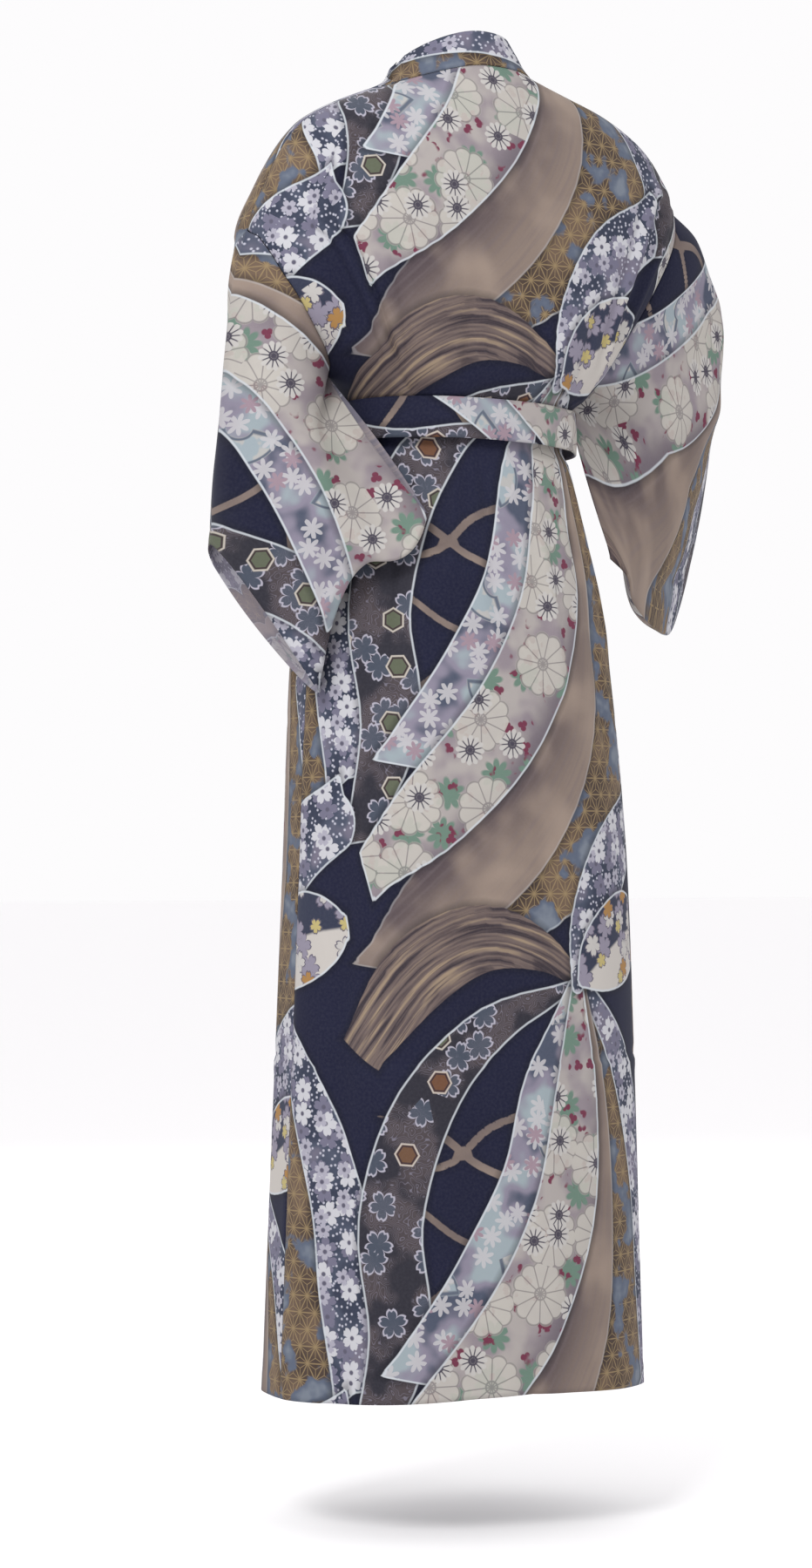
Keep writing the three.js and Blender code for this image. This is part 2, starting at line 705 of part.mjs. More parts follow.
// Knot: the crossed turn of the band
function beltKnot() {
  const { v: centre, n } = knotPoint();
  const side = new THREE.Vector3(-n.y, n.x, 0);
  const inner = [];
  const rings = 9;
  const round = 14;
  const list = [];
  const faces = [];
  for (let i = 0; i <= rings; i += 1) {
    const a = (i / rings) * Math.PI;
    const ring = [];
    for (let j = 0; j < round; j += 1) {
      const b = (j / round) * 2 * Math.PI;
      const pow = (w, e) => Math.sign(w) * Math.pow(Math.abs(w), e);
      const wide = 24 * pow(Math.cos(a), 0.7);
      const r = pow(Math.sin(a), 0.7);
      const v = centre.clone().addScaledVector(side, wide)
        .addScaledVector(n, KNOT_DEEP * r * pow(Math.cos(b), 0.75));
      v.z += 22 * r * pow(Math.sin(b), 0.75);
      ring.push(v);
    }
    inner.push(ring);
  }
  const first = inner[0][0];
  const last = inner[rings][0];
  list.push(first.x, first.y, first.z);
  for (let i = 1; i < rings; i += 1) inner[i].forEach((v) => list.push(v.x, v.y, v.z));
  list.push(last.x, last.y, last.z);
  const at = (i, j) => 1 + (i - 1) * round + ((j + round) % round);
  const end = 1 + (rings - 1) * round;
  for (let j = 0; j < round; j += 1) {
    faces.push(0, at(1, j), at(1, j + 1));
    faces.push(end, at(rings - 1, j + 1), at(rings - 1, j));
    for (let i = 1; i < rings - 1; i += 1) {
      faces.push(at(i, j), at(i + 1, j), at(i + 1, j + 1));
      faces.push(at(i, j), at(i + 1, j + 1), at(i, j + 1));
    }
  }
  let volume = 0;
  const vert = (k) => new THREE.Vector3().fromArray(list, k * 3);
  for (let f = 0; f < faces.length; f += 3) {
    volume += vert(faces[f]).dot(vert(faces[f + 1]).cross(vert(faces[f + 2])));
  }
  if (volume < 0) faces.reverse();
  const g = new THREE.BufferGeometry();
  g.setAttribute('position', new THREE.Float32BufferAttribute(list, 3));
  g.setIndex(faces);
  g.computeVertexNormals();
  return g;
}

// Belt ends: each is pinched under the knot, then falls on the skirt. Where it
// starts across the knot, how far it swings, its length.
const ENDS = {
  belt_end_left: { start: -11, swing: -46, long: 210 },
  belt_end_right: { start: 11, swing: 44, long: 250 },
};

function beltEnd(spec) {
  const knot = knotPoint();
  const n = knot.n;
  const side = new THREE.Vector3(-n.y, n.x, 0);
  const inner = [];
  const outer = [];
  const rows = 10;
  for (let i = 0; i <= rows; i += 1) {
    const s = i / rows;
    const a = [];
    const b = [];
    const wide = BELT_WIDE * (0.36 + 0.64 * smooth(s * 3));
    for (let k = 0; k <= 2; k += 1) {
      const z = Z_BELT - 22.3 - s * spec.long;
      const move = spec.start + spec.swing * smooth(s * 1.4) + (k / 2 - 0.5) * wide;
      const base = tiePoint(0, 0).v.addScaledVector(side, move);
      base.z = z;
      let far = -1000;
      for (const dz of [0, 14]) {
        for (const q of [0.5, 0.56, 0.62, 0.68, 0.74, 0.8, 0.86, 0.92, 1]) {
          far = Math.max(far, bare('right', q, z + dz).sub(base).dot(n));
        }
      }
      const top = knot.v.clone().sub(base).dot(n);
      const rest = far + OVER + BAND + 7 + 2 * Math.sin(s * 5 + k);
      const v = base.clone().addScaledVector(n, top + (rest - top) * smooth(s * 3.2));
      a.push(v.clone());
      b.push(v.addScaledVector(n, BAND));
    }
    inner.push(a);
    outer.push(b);
  }
  return solid(inner, outer, false);
}

const cloth = new THREE.MeshStandardMaterial({ color: '#3a3c52', roughness: 0.85 });
const group = new THREE.Group();

function add(name, geometry) {
  const mesh = new THREE.Mesh(geometry, cloth);
  mesh.name = name;
  group.add(mesh);
}

add('back', backPanel());
add('front_left', frontPanel('left'));
add('front_right', frontPanel('right'));
add('overlap_left', overlapPanel('left'));
add('overlap_right', overlapPanel('right'));
add('collar', collarBand());
add('sleeve_left', sleeve('left'));
add('sleeve_right', sleeve('right'));
add('belt_band', beltBand());
add('belt_knot', beltKnot());
for (const [name, spec] of Object.entries(ENDS)) add(name, beltEnd(spec));

export default group;
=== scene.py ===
# %% [markdown]
# This lesson dresses the imported solids of a kimono as printed cotton cloth.
# The solids are fixed, so the script first loads them as a frame.

# %% Load the frame
import math
import bpy
import bmesh
import numpy as np
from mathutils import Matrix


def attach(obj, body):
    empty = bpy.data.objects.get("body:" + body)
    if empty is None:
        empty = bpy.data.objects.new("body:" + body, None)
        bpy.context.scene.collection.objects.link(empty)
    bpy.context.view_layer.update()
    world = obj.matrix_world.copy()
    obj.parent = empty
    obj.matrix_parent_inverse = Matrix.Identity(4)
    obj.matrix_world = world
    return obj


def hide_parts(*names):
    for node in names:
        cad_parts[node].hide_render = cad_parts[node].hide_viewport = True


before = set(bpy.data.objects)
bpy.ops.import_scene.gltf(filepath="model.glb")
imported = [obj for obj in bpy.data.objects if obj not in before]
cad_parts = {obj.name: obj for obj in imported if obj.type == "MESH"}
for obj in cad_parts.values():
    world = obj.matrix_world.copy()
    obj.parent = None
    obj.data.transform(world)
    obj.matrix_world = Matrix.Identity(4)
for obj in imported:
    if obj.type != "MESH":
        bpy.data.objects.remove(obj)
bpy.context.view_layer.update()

# %% [markdown]
# The picture is taken from behind and from the wearer's left, with a long lens at
# the height of the thighs. A level camera keeps upright seams upright, so the
# small lift of the view is done with the lens shift.

# %% Camera
PICTURE = (932, 1800)
FOCUS_PIXELS = 4600
SENSOR = 36.0

camera_data = bpy.data.cameras.new("camera")
camera_data.sensor_width = SENSOR
camera_data.lens = SENSOR * FOCUS_PIXELS / PICTURE[1]
camera_data.shift_y = 90 / PICTURE[1]
camera_data.clip_end = 200
camera = bpy.data.objects.new("camera", camera_data)
camera.location = (2.143, 3.613, -0.835)
camera.rotation_euler = (math.radians(90), 0, math.radians(150))
bpy.context.collection.objects.link(camera)
bpy.context.scene.camera = camera
print("lens in mm", round(camera_data.lens, 1))

# %% [markdown]
# The body of the garment is a stack of level sections. Each table gives a section
# at a height, in millimetres, and a smooth curve runs through its rows. The same
# sizes made the solids, so the cloth lies on them without any fitting.

# %% Sizes of the body
# height, depth at the back, depth at the front, sideways shift
MIDDLE = (
    (60, 42, 36, -4), (25, 51, 46, -4), (-11, 64, 56, -4), (-28, 72, 62, -5),
    (-50, 84, 72, -5), (-85, 97, 86, -5), (-125, 108, 99, -5), (-175, 115, 110, -4),
    (-230, 119, 115, -2), (-290, 118, 110, 0), (-324, 115, 104, 0), (-344, 108, 97, 0),
    (-359, 97, 93, 0), (-374, 92, 90, 0), (-404, 92, 90, 0), (-420, 97, 94, 0),
    (-450, 106, 100, 0), (-500, 117, 109, 0), (-560, 127, 118, 0), (-640, 135, 126, 0),
    (-845, 143, 136, 0), (-1037, 148, 143, 0), (-1400, 158, 153, 0),
)
# height, half width, where the back and the front end fore and aft
SIDE_LEFT = (
    (60, 40, 0, 0), (25, 50, 0, 0), (0, 62, 0, 0), (-16, 69, 0, 0), (-28, 81, 0, 0),
    (-36, 103, 0, 0), (-47, 132, 0, 0), (-60, 160, 0, 0), (-76, 185, 0, 0),
    (-102, 207, 0, 0), (-142, 228, 0, 0), (-191, 246, 0, 0), (-202, 245, 24, -24),
    (-230, 236, 46, -44), (-268, 212, 56, -54), (-304, 184, 48, -46),
    (-325, 164, 29, -25), (-335, 153, 6, 6), (-346, 140, 0, 0), (-354, 130, 0, 0),
    (-363, 122, 0, 0), (-376, 118, 0, 0), (-404, 117, 0, 0), (-420, 124, 0, 0),
    (-450, 135, 0, 0), (-500, 150, 0, 0), (-560, 163, 0, 0), (-640, 172, 0, 0),
    (-845, 180, 0, 0), (-1037, 188, 0, 0), (-1400, 203, 0, 0),
)
SIDE_RIGHT = (
    (60, 40, 0, 0), (25, 52, 0, 0), (5, 64, 0, 0), (-6, 71, 0, 0), (-14, 81, 0, 0),
    (-22, 103, 0, 0), (-32, 134, 0, 0), (-45, 172, 0, 0), (-58, 198, 0, 0),
    (-76, 223, 0, 0), (-100, 242, 0, 0), (-126, 254, 0, 0), (-138, 252, 24, -24),
    (-172, 242, 46, -46), (-225, 214, 56, -58), (-285, 182, 45, -60),
    (-330, 158, 18, -42), (-346, 145, -10, -10), (-354, 134, -5, -5), (-363, 124, 0, 0),
    (-376, 119, 0, 0), (-404, 118, 0, 0), (-420, 126, 0, 0), (-450, 130, 0, 0),
    (-500, 142, 0, 0), (-560, 157, 0, 0), (-640, 172, 0, 0), (-740, 184, 0, 0),
    (-845, 193, 0, 0), (-1037, 201, 0, 0), (-1400, 212, 0, 0),
)
# height, fullness of the section: 2 is an ellipse, more is boxier
FULLNESS = ((60, 2.0), (-60, 2.0), (-160, 2.3), (-300, 2.4), (-380, 2.1), (-1400, 2.1))
# height, distance across from the middle of the edge where the collar is sewn
EDGE = (
    (-14, 82), (-34, 80), (-60, 75), (-100, 64), (-150, 46), (-200, 26), (-250, 4),
    (-300, -19), (-340, -38), (-380, -52), (-450, -62), (-560, -74), (-720, -92),
    (-900, -100), (-1400, -104),
)
# height, distance across of the seam between front and overlap
SEAM_FRONT = (
    (-292, 8), (-340, 14), (-380, 20), (-450, 28), (-560, 36), (-900, 44), (-1400, 50),
)
LEFT, RIGHT = 1, -1
WALL = 1.5
BAND = 3.0
OVER = 6.0
HEM_BACK, HEM_SIDE = -1374, -1383
NECK_BACK = -11
NECK_SIDE = {LEFT: -28, RIGHT: -14}
SEAM_TOP = {LEFT: -191, RIGHT: -126}
UNDERARM = {LEFT: -335, RIGHT: -346}
COLLAR_WIDE = 40
COLLAR_END = -720
OVERLAP_TOP = -292
print("rows of the body tables", len(MIDDLE), len(SIDE_LEFT), len(SIDE_RIGHT))


# %% Smooth curve through a table
def read(table, column, at):
    """Value of a column at each height, smooth through the rows."""
    rows = np.array(table, float)
    key, value = rows[:, 0], rows[:, column]
    at = np.asarray(at, float)
    if key[0] > key[-1]:
        key, at = -key, -at
    step = np.diff(key)
    slope = np.diff(value) / step
    before, after = slope[:-1], slope[1:]
    both = before + after
    soft = np.where(before * after > 0, 2 * before * after / np.where(both == 0, 1, both), 0)
    rate = np.concatenate(([slope[0]], soft, [slope[-1]]))
    spot = np.clip(np.searchsorted(key, at, side="left") - 1, 0, len(step) - 1)
    s = np.clip((at - key[spot]) / step[spot], 0, 1)
    s2, s3 = s * s, s * s * s
    return ((2 * s3 - 3 * s2 + 1) * value[spot] + (s3 - 2 * s2 + s) * step[spot] * rate[spot]
            + (3 * s2 - 2 * s3) * value[spot + 1] + (s3 - s2) * step[spot] * rate[spot + 1])


def smooth(s):
    """Soft step from 0 to 1."""
    c = np.clip(s, 0, 1)
    return c * c * (3 - 2 * c)


print("half width at the hips", float(read(SIDE_LEFT, 1, -640)))

# %% [markdown]
# Cloth that hangs from the shoulders falls in long soft folds, and cloth that a
# belt holds makes short ones that start at the belt. Each fold is one row of a
# table: where it lies round the body, where it starts and ends, how wide and deep
# it is and how far it leans. The depths are uneven, as they are on real cloth.

# %% Folds of the body
# side, place round (0 centre back, 1 centre front), top, low, half width, depth, lean
FOLDS = (
    (LEFT, 0.34, -70, -345, 0.05, -9, 0), (RIGHT, 0.36, -80, -360, 0.05, -8, 0),
    (LEFT, 0.17, -250, -362, 0.045, 4, 0), (RIGHT, 0.12, -255, -362, 0.045, 4, 0),
    (LEFT, 0.22, -520, -1420, 0.07, 5, 0), (RIGHT, 0.16, -620, -1420, 0.08, 4, 0),
    (LEFT, 0.47, -480, -1420, 0.06, 4, 0), (RIGHT, 0.46, -430, -1420, 0.06, 5, 0),
    (LEFT, 0.74, -420, -1420, 0.07, 5, 0), (RIGHT, 0.7, -420, -1420, 0.07, 5, 0),
)
# Creases that only the cloth shows, in the same measures
CREASES = (
    (LEFT, 0.30, -45, -362, 0.014, 5.5, 0.0), (LEFT, 0.274, -45, -362, 0.011, -5.0, 0.0),
    (RIGHT, 0.30, -70, -356, 0.018, 4.5, 0.01), (RIGHT, 0.268, -80, -356, 0.014, -4.0, 0.01),
    (LEFT, 0.22, -190, -362, 0.014, -4.0, 0.07), (LEFT, 0.08, -240, -362, 0.016, -3.4, 0.05),
    (LEFT, 0.27, -280, -364, 0.012, -3.7, -0.05), (RIGHT, 0.05, -250, -364, 0.014, -3.1, 0.03),
    (RIGHT, 0.2, -230, -364, 0.016, -4.0, -0.04), (RIGHT, 0.29, -280, -366, 0.013, 3.7, -0.05),
    (RIGHT, 0.40, -100, -330, 0.018, 3.7, 0.01), (LEFT, 0.13, -398, -560, 0.014, 3.1, 0.02),
    (LEFT, 0.05, -398, -620, 0.016, -3.4, -0.02), (LEFT, 0.27, -400, -640, 0.018, -3.7, 0.03),
    (LEFT, 0.36, -400, -600, 0.014, 3.1, 0.02), (RIGHT, 0.08, -398, -700, 0.016, 3.4, 0.03),
    (RIGHT, 0.21, -400, -760, 0.018, -3.7, 0.04), (RIGHT, 0.31, -400, -640, 0.015, 3.1, 0.02),
    (RIGHT, 0.36, -560, -1420, 0.03, -4.7, 0.02), (LEFT, 0.09, -700, -1420, 0.04, -4.0, 0.02),
    (LEFT, 0.36, -640, -1420, 0.03, -4.7, -0.02), (RIGHT, 0.03, -820, -1420, 0.03, 2.8, 0.0),
    (LEFT, 0.6, -60, -330, 0.02, -3.9, 0.03), (RIGHT, 0.62, -60, -330, 0.02, -3.9, 0.03),
    (LEFT, 0.7, -150, -360, 0.018, 3.4, 0.06), (RIGHT, 0.72, -140, -360, 0.018, 3.4, 0.06),
    (LEFT, 0.8, -230, -362, 0.014, -3.1, -0.04), (RIGHT, 0.84, -220, -362, 0.014, -3.1, -0.04),
    (LEFT, 0.58, -400, -700, 0.018, -3.4, 0.02), (RIGHT, 0.57, -400, -660, 0.018, -3.7, 0.03),
    (LEFT, 0.88, -400, -620, 0.016, 3.1, 0.03), (RIGHT, 0.9, -400, -640, 0.016, 2.5, 0.02),
    (LEFT, 0.66, -620, -1420, 0.03, -4.0, 0.02), (RIGHT, 0.6, -600, -1420, 0.03, 4.0, 0.02),
    (LEFT, 0.9, -560, -1420, 0.035, -3.7, -0.03), (RIGHT, 0.82, -640, -1420, 0.03, -3.4, 0.02),
)
# Level packing creases all round: height, half width, depth
PACKING = ((-1038, 5, -1.6), (-1046, 8, 1.0), (-690, 6, -0.5))


def fold_height(own, p, z):
    """Height of the folds and creases at a place on the body."""
    total = np.zeros_like(p)
    for side, at, top, low, half, deep, lean in FOLDS + CREASES:
        run = (top - z) / (top - low)
        inside = (own == side) & (run > 0) & (run < 1)
        ends = smooth(run * 3) if low < -1400 else smooth(run * 4) * smooth((1 - run) * 4)
        s = (p - at - lean * (run - 0.5)) / half
        total += np.where(inside, deep * np.exp(-s * s) * ends, 0)
    for level, half, deep in PACKING:
        wave = level + 3 * np.sin(9 * p + own)
        total += deep * np.exp(-((z - wave) / half) ** 2)
    return total


print("folds and creases", len(FOLDS) + len(CREASES))


# %% Surface of the body
def end_turn(own, z, deep, column):
    """Turn at which the back or front section ends on a side."""
    n = read(FULLNESS, 1, z)
    end = np.where(own > 0, read(SIDE_LEFT, column, z), read(SIDE_RIGHT, column, z))
    share = end / deep
    turn = np.arccos(np.abs(share) ** (n / 2))
    return np.where(share >= 0, turn, math.pi - turn)


def power(value, n):
    """Signed power that makes a section boxier than an ellipse."""
    return np.sign(value) * np.abs(value) ** (2 / n)


def bare(side, p, z):
    """Body surface: p is 0 at centre back, 0.5 at the side and 1 at centre front."""
    p, z = np.broadcast_arrays(np.asarray(p, float), np.asarray(z, float))
    across = (p > 1) | (p < 0)
    own = np.where(across, -side, side)
    p = np.where(p > 1, 2 - p, np.abs(p))
    rear = p <= 0.5
    n = read(FULLNESS, 1, z)
    deep = np.where(rear, read(MIDDLE, 1, z), -read(MIDDLE, 2, z))
    end = np.where(rear, end_turn(own, z, read(MIDDLE, 1, z), 2),
                   end_turn(own, z, -read(MIDDLE, 2, z), 3))
    turn = np.where(rear, p, 1 - p) * 2 * end
    half = np.where(own > 0, read(SIDE_LEFT, 1, z), read(SIDE_RIGHT, 1, z))
    wide = half / power(np.sin(end), n)
    fold = fold_height(own, p, z)
    x = wide * power(np.sin(turn), n) + fold * np.sin(turn)
    y = deep * power(np.cos(turn), n) + np.sign(deep) * fold * np.cos(turn)
    return np.stack((own * x + read(MIDDLE, 3, z), y, z), -1)


def outward(side, p, z):
    """Outward direction of the body surface."""
    top = np.where(np.equal(side, LEFT), SEAM_TOP[LEFT], SEAM_TOP[RIGHT])
    foot = np.where(np.equal(side, LEFT), UNDERARM[LEFT], UNDERARM[RIGHT])
    gap = (z < top) & (z > foot)
    low, high = p - 0.008, p + 0.008
    high = np.where((p <= 0.5) & (high > 0.5) & gap, 0.5, high)
    low = np.where((p > 0.5) & (low < 0.500001) & gap, 0.500001, low)
    along = bare(side, high, z) - bare(side, low, z)
    up = bare(side, p, z + 4) - bare(side, p, z - 4)
    n = np.cross(along, up) * -side
    return n / np.linalg.norm(n, axis=-1, keepdims=True)


def skin(side, p, z, off):
    """Point that stands off the body surface by a distance."""
    return bare(side, p, z) + outward(side, p, z) * np.asarray(off)[..., None]


def share_at(side, z, across):
    """Place round the section that lies a distance across the front."""
    n = read(FULLNESS, 1, z)
    shift = read(MIDDLE, 3, z) * side
    own = np.where(across - shift >= 0, side, -side)
    end = end_turn(own, z, -read(MIDDLE, 2, z), 3)
    half = np.where(own > 0, read(SIDE_LEFT, 1, z), read(SIDE_RIGHT, 1, z))
    wide = half / np.sin(end) ** (2 / n)
    ratio = np.minimum(1, np.abs(across - shift) / wide)
    p = 1 - np.arcsin(ratio ** (n / 2)) / end / 2
    return np.where(own == side, p, 2 - p)


def lift(side, p):
    """The left side laps over the right one, so it stands off further in front."""
    return OVER * smooth((p - 0.52) / 0.14) if side == LEFT else np.zeros_like(p)


print("centre back at the hem", bare(LEFT, 0.0, -1374.0).round(1))

# %% [markdown]
# A panel of the garment is one flat cut of cloth. It starts here as a plain grid
# from bmesh, and each vertex is then moved to its place on the body. The flat
# place of each vertex, in metres of cloth, is kept as its UV, so the print runs
# over the folds without stretching and stops at the seams, as on the real thing.

# %% Grid that becomes a panel
MM = 0.001
PANELS = {}


def panel(name, nodes, across, up, place, lay, ring=False, thick=0.9, inside=None):
    """Make a grid, bend it with place(u, v) and keep its flat cloth place as UV."""
    shape = bmesh.new()
    bmesh.ops.create_grid(shape, x_segments=across, y_segments=up, size=0.5)
    verts = sorted(shape.verts, key=lambda v: (round(v.co.y, 5), round(v.co.x, 5)))
    u, v = np.meshgrid(np.linspace(0, 1, across + 1), np.linspace(0, 1, up + 1))
    points = place(u, v)
    run = np.zeros_like(u)
    rise = np.zeros_like(u)
    run[:, 1:] = np.cumsum(np.linalg.norm(np.diff(points, axis=1), axis=2), axis=1)
    rise[1:] = np.cumsum(np.linalg.norm(np.diff(points, axis=0), axis=2), axis=0)
    cloth = np.stack(lay(points, run, rise), -1).reshape(-1, 2)
    flat_points = points.reshape(-1, 3)
    order = {vert: i for i, vert in enumerate(verts)}
    layer = shape.loops.layers.uv.new("cloth")
    for face in shape.faces:
        for loop in face.loops:
            loop[layer].uv = cloth[order[loop.vert]] * MM
    for vert, point in zip(verts, flat_points):
        vert.co = point * MM
    if ring:
        bmesh.ops.remove_doubles(shape, verts=shape.verts, dist=1e-6)
    shape.normal_update()
    core = inside(points) * MM if inside else None
    facing = 0.0
    for face in shape.faces:
        middle = face.calc_center_median()
        away = middle - type(middle)(core) if core is not None else middle * 1
        if core is None:
            away.z = 0
        facing += face.normal.dot(away.normalized())
    if facing < 0:
        bmesh.ops.reverse_faces(shape, faces=shape.faces)
    mesh = bpy.data.meshes.new(name)
    shape.to_mesh(mesh)
    shape.free()
    mesh.polygons.foreach_set("use_smooth", [True] * len(mesh.polygons))
    piece = bpy.data.objects.new(name, mesh)
    bpy.context.collection.objects.link(piece)
    wall = piece.modifiers.new("wall", "SOLIDIFY")
    wall.thickness = thick * MM
    wall.offset = -1
    wall.use_even_offset = False
    wall.material_offset = 1
    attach(piece, "root")
    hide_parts(*nodes)
    PANELS[name] = piece
    area = sum(face.area for face in mesh.polygons)
    print(name, "faces", len(mesh.polygons), "area", round(area, 3), "square metres")
    return piece


def hanging(middle=0.5, turn=1, shift=(0, 0)):
    """Flat place of a panel that hangs: distance across from a column, and height."""
    def lay(points, run, rise):
        column = int(round(middle * (run.shape[1] - 1)))
        return turn * (run - run[:, column:column + 1]) + shift[0], points[..., 2] + shift[1]
    return lay


# %% [markdown]
# The back is one wide panel from the neck seam to the hem. The rows of the grid
# lie closer at the shoulders, where the section changes fast. Near each edge the
# cloth is drawn in by a millimetre, which is how a sewn seam shows.

# %% Back
ROW_LOW, ROW_HIGH = -1380, -22
ROW_SHARES = ((0, 0.8, 0.9, 1), (ROW_LOW, -200, -80, ROW_HIGH))


def hem_at(p):
    """Height of the hem round the section."""
    return HEM_BACK + (HEM_SIDE - HEM_BACK) * np.abs(np.sin(np.minimum(p, 1) * math.pi))


def neck_at(side, p):
    """Height of the neck seam round the back."""
    return NECK_BACK + (NECK_SIDE[side] - NECK_BACK) * smooth(np.abs(p) * 2)


def near_hem(z):
    """Share of the hem's own line that a height near it follows."""
    return np.maximum(0, 1 - (z - ROW_LOW) / 200)


def seam_dip(distance, deep=0.9, wide=4.0):
    """How far cloth is drawn in near a seam, by the distance from it in mm."""
    return -deep * np.exp(-(distance / wide) ** 2)


def hem_step(z):
    """The turned hem is thicker, and its stitching draws the cloth in."""
    up = z - HEM_BACK
    return 0.4 * (1 - smooth((up - 14) / 3)) - 0.7 * np.exp(-((up - 18) / 2.2) ** 2)


def back_place(u, v):
    z0 = np.interp(v, *ROW_SHARES)
    points = np.empty(u.shape + (3,))
    for side in (LEFT, RIGHT):
        mine = (u >= 0.5) if side == LEFT else (u < 0.5)
        p = np.abs(u[mine] * 2 - 1) / 2
        z = z0[mine]
        z = (z + near_hem(z) * (hem_at(p) - ROW_LOW)
             + smooth((z + 90) / 68) * (neck_at(side, p) - ROW_HIGH - 0.15))
        off = WALL + seam_dip((0.5 - p) * 560) + hem_step(z)
        points[mine] = skin(side, np.minimum(p, 0.49999), z, off)
    return points


back = panel("back_cloth", ["back"], 150, 250, back_place, hanging(0.5, -1))

# %% [markdown]
# Each front runs from the side seam to the collar, and below the chest to the
# seam of the overlap, a narrow slanted panel that gives the wrap its width. The
# wearer's left side lies over the right one, so it stands six millimetres off.

# %% Fronts and overlaps
FRONT_TURN = (-310, -283)


def front_edge(side, z):
    """Distance across of the inner edge of a front panel."""
    low = read(SEAM_FRONT, 1, z)
    half = read(SIDE_LEFT if side == LEFT else SIDE_RIGHT, 1, z)
    high = np.minimum(read(EDGE, 1, z), half - 4)
    share = np.clip((z - FRONT_TURN[0]) / (FRONT_TURN[1] - FRONT_TURN[0]), 0, 1)
    return low + (high - low) * share


def front_place(side):
    def place(u, v):
        z = np.interp(v, *ROW_SHARES)
        z = z + smooth((z + 90) / 68) * (NECK_SIDE[side] - 1.0 - ROW_HIGH)
        last = np.maximum(0.502, share_at(side, z, front_edge(side, z)))
        p = 0.50001 + (last - 0.50001) * u
        z = z + near_hem(z) * (hem_at(p) - ROW_LOW)
        off = lift(side, p) + WALL + seam_dip((p - 0.5) * 560) + hem_step(z)
        off = off + seam_dip((last - p) * 560)
        return skin(side, p, z, off)
    return place


def overlap_place(side):
    def place(u, v):
        z = ROW_LOW + (FRONT_TURN[0] - ROW_LOW) * v
        first = share_at(side, z, read(SEAM_FRONT, 1, z))
        last = share_at(side, z, read(EDGE, 1, z))
        p = first + (last - first) * u
        z = z + near_hem(z) * (hem_at(np.where(p > 1, 2 - p, p)) - ROW_LOW)
        off = lift(side, p) + WALL + seam_dip((p - first) * 560) + hem_step(z)
        free = smooth((COLLAR_END - 30 - z) / 20)
        turned = 0.5 * np.exp(-(((last - p) * 560 - 3) / 5) ** 2)
        off = off + free * turned + (1 - free) * seam_dip((last - p) * 560)
        return skin(side, p, z, off)
    return place


for side, word, turn, shift in ((LEFT, "left", -1, (150, 210)), (RIGHT, "right", 1, (-60, 330))):
    front = panel(f"front_{word}_cloth", [f"front_{word}"], 66, 250, front_place(side),
                  hanging(0, turn, shift))
    overlap = panel(f"overlap_{word}_cloth", [f"overlap_{word}"], 34, 190,
                    overlap_place(side), hanging(0, turn, (shift[0] + 130, shift[1] + 260)))

# %% [markdown]
# The collar is one long folded band. It is sewn to the neck edge, stands up behind
# the neck and runs down both front edges. Here the seam line is sampled first, and
# each point then walks over the surface at a right angle to it, a step at a time.

# %% Collar
COLLAR_STEPS = 12


def collar_line(count):
    """Side, place round the section and height along the whole neck edge."""
    sides, places, heights = [], [], []
    for side in (LEFT, RIGHT):
        p = np.linspace(0, 0.5, 24)
        z = neck_at(side, p) + 0.2
        down = np.linspace(0, 1, 110) ** 1.25
        fall = NECK_SIDE[side] + 0.2 + (COLLAR_END - NECK_SIDE[side]) * down[1:]
        half = read(SIDE_LEFT if side == LEFT else SIDE_RIGHT, 1, fall)
        edge = share_at(side, fall, np.minimum(read(EDGE, 1, fall), half - 0.5))
        p = np.concatenate((p, np.maximum(edge, 0.5)))
        z = np.concatenate((z, fall))
        order = slice(None, None, -1) if side == LEFT else slice(1, None)
        sides.append(np.full(len(p), side)[order])
        places.append(p[order])
        heights.append(z[order])
    sides, places, heights = map(np.concatenate, (sides, places, heights))
    spots = np.linspace(0, len(sides) - 1, count)
    whole = np.arange(len(sides))
    signed = np.interp(spots, whole, places * sides)
    return np.sign(signed + (signed == 0)), np.abs(signed), np.interp(spots, whole, heights)


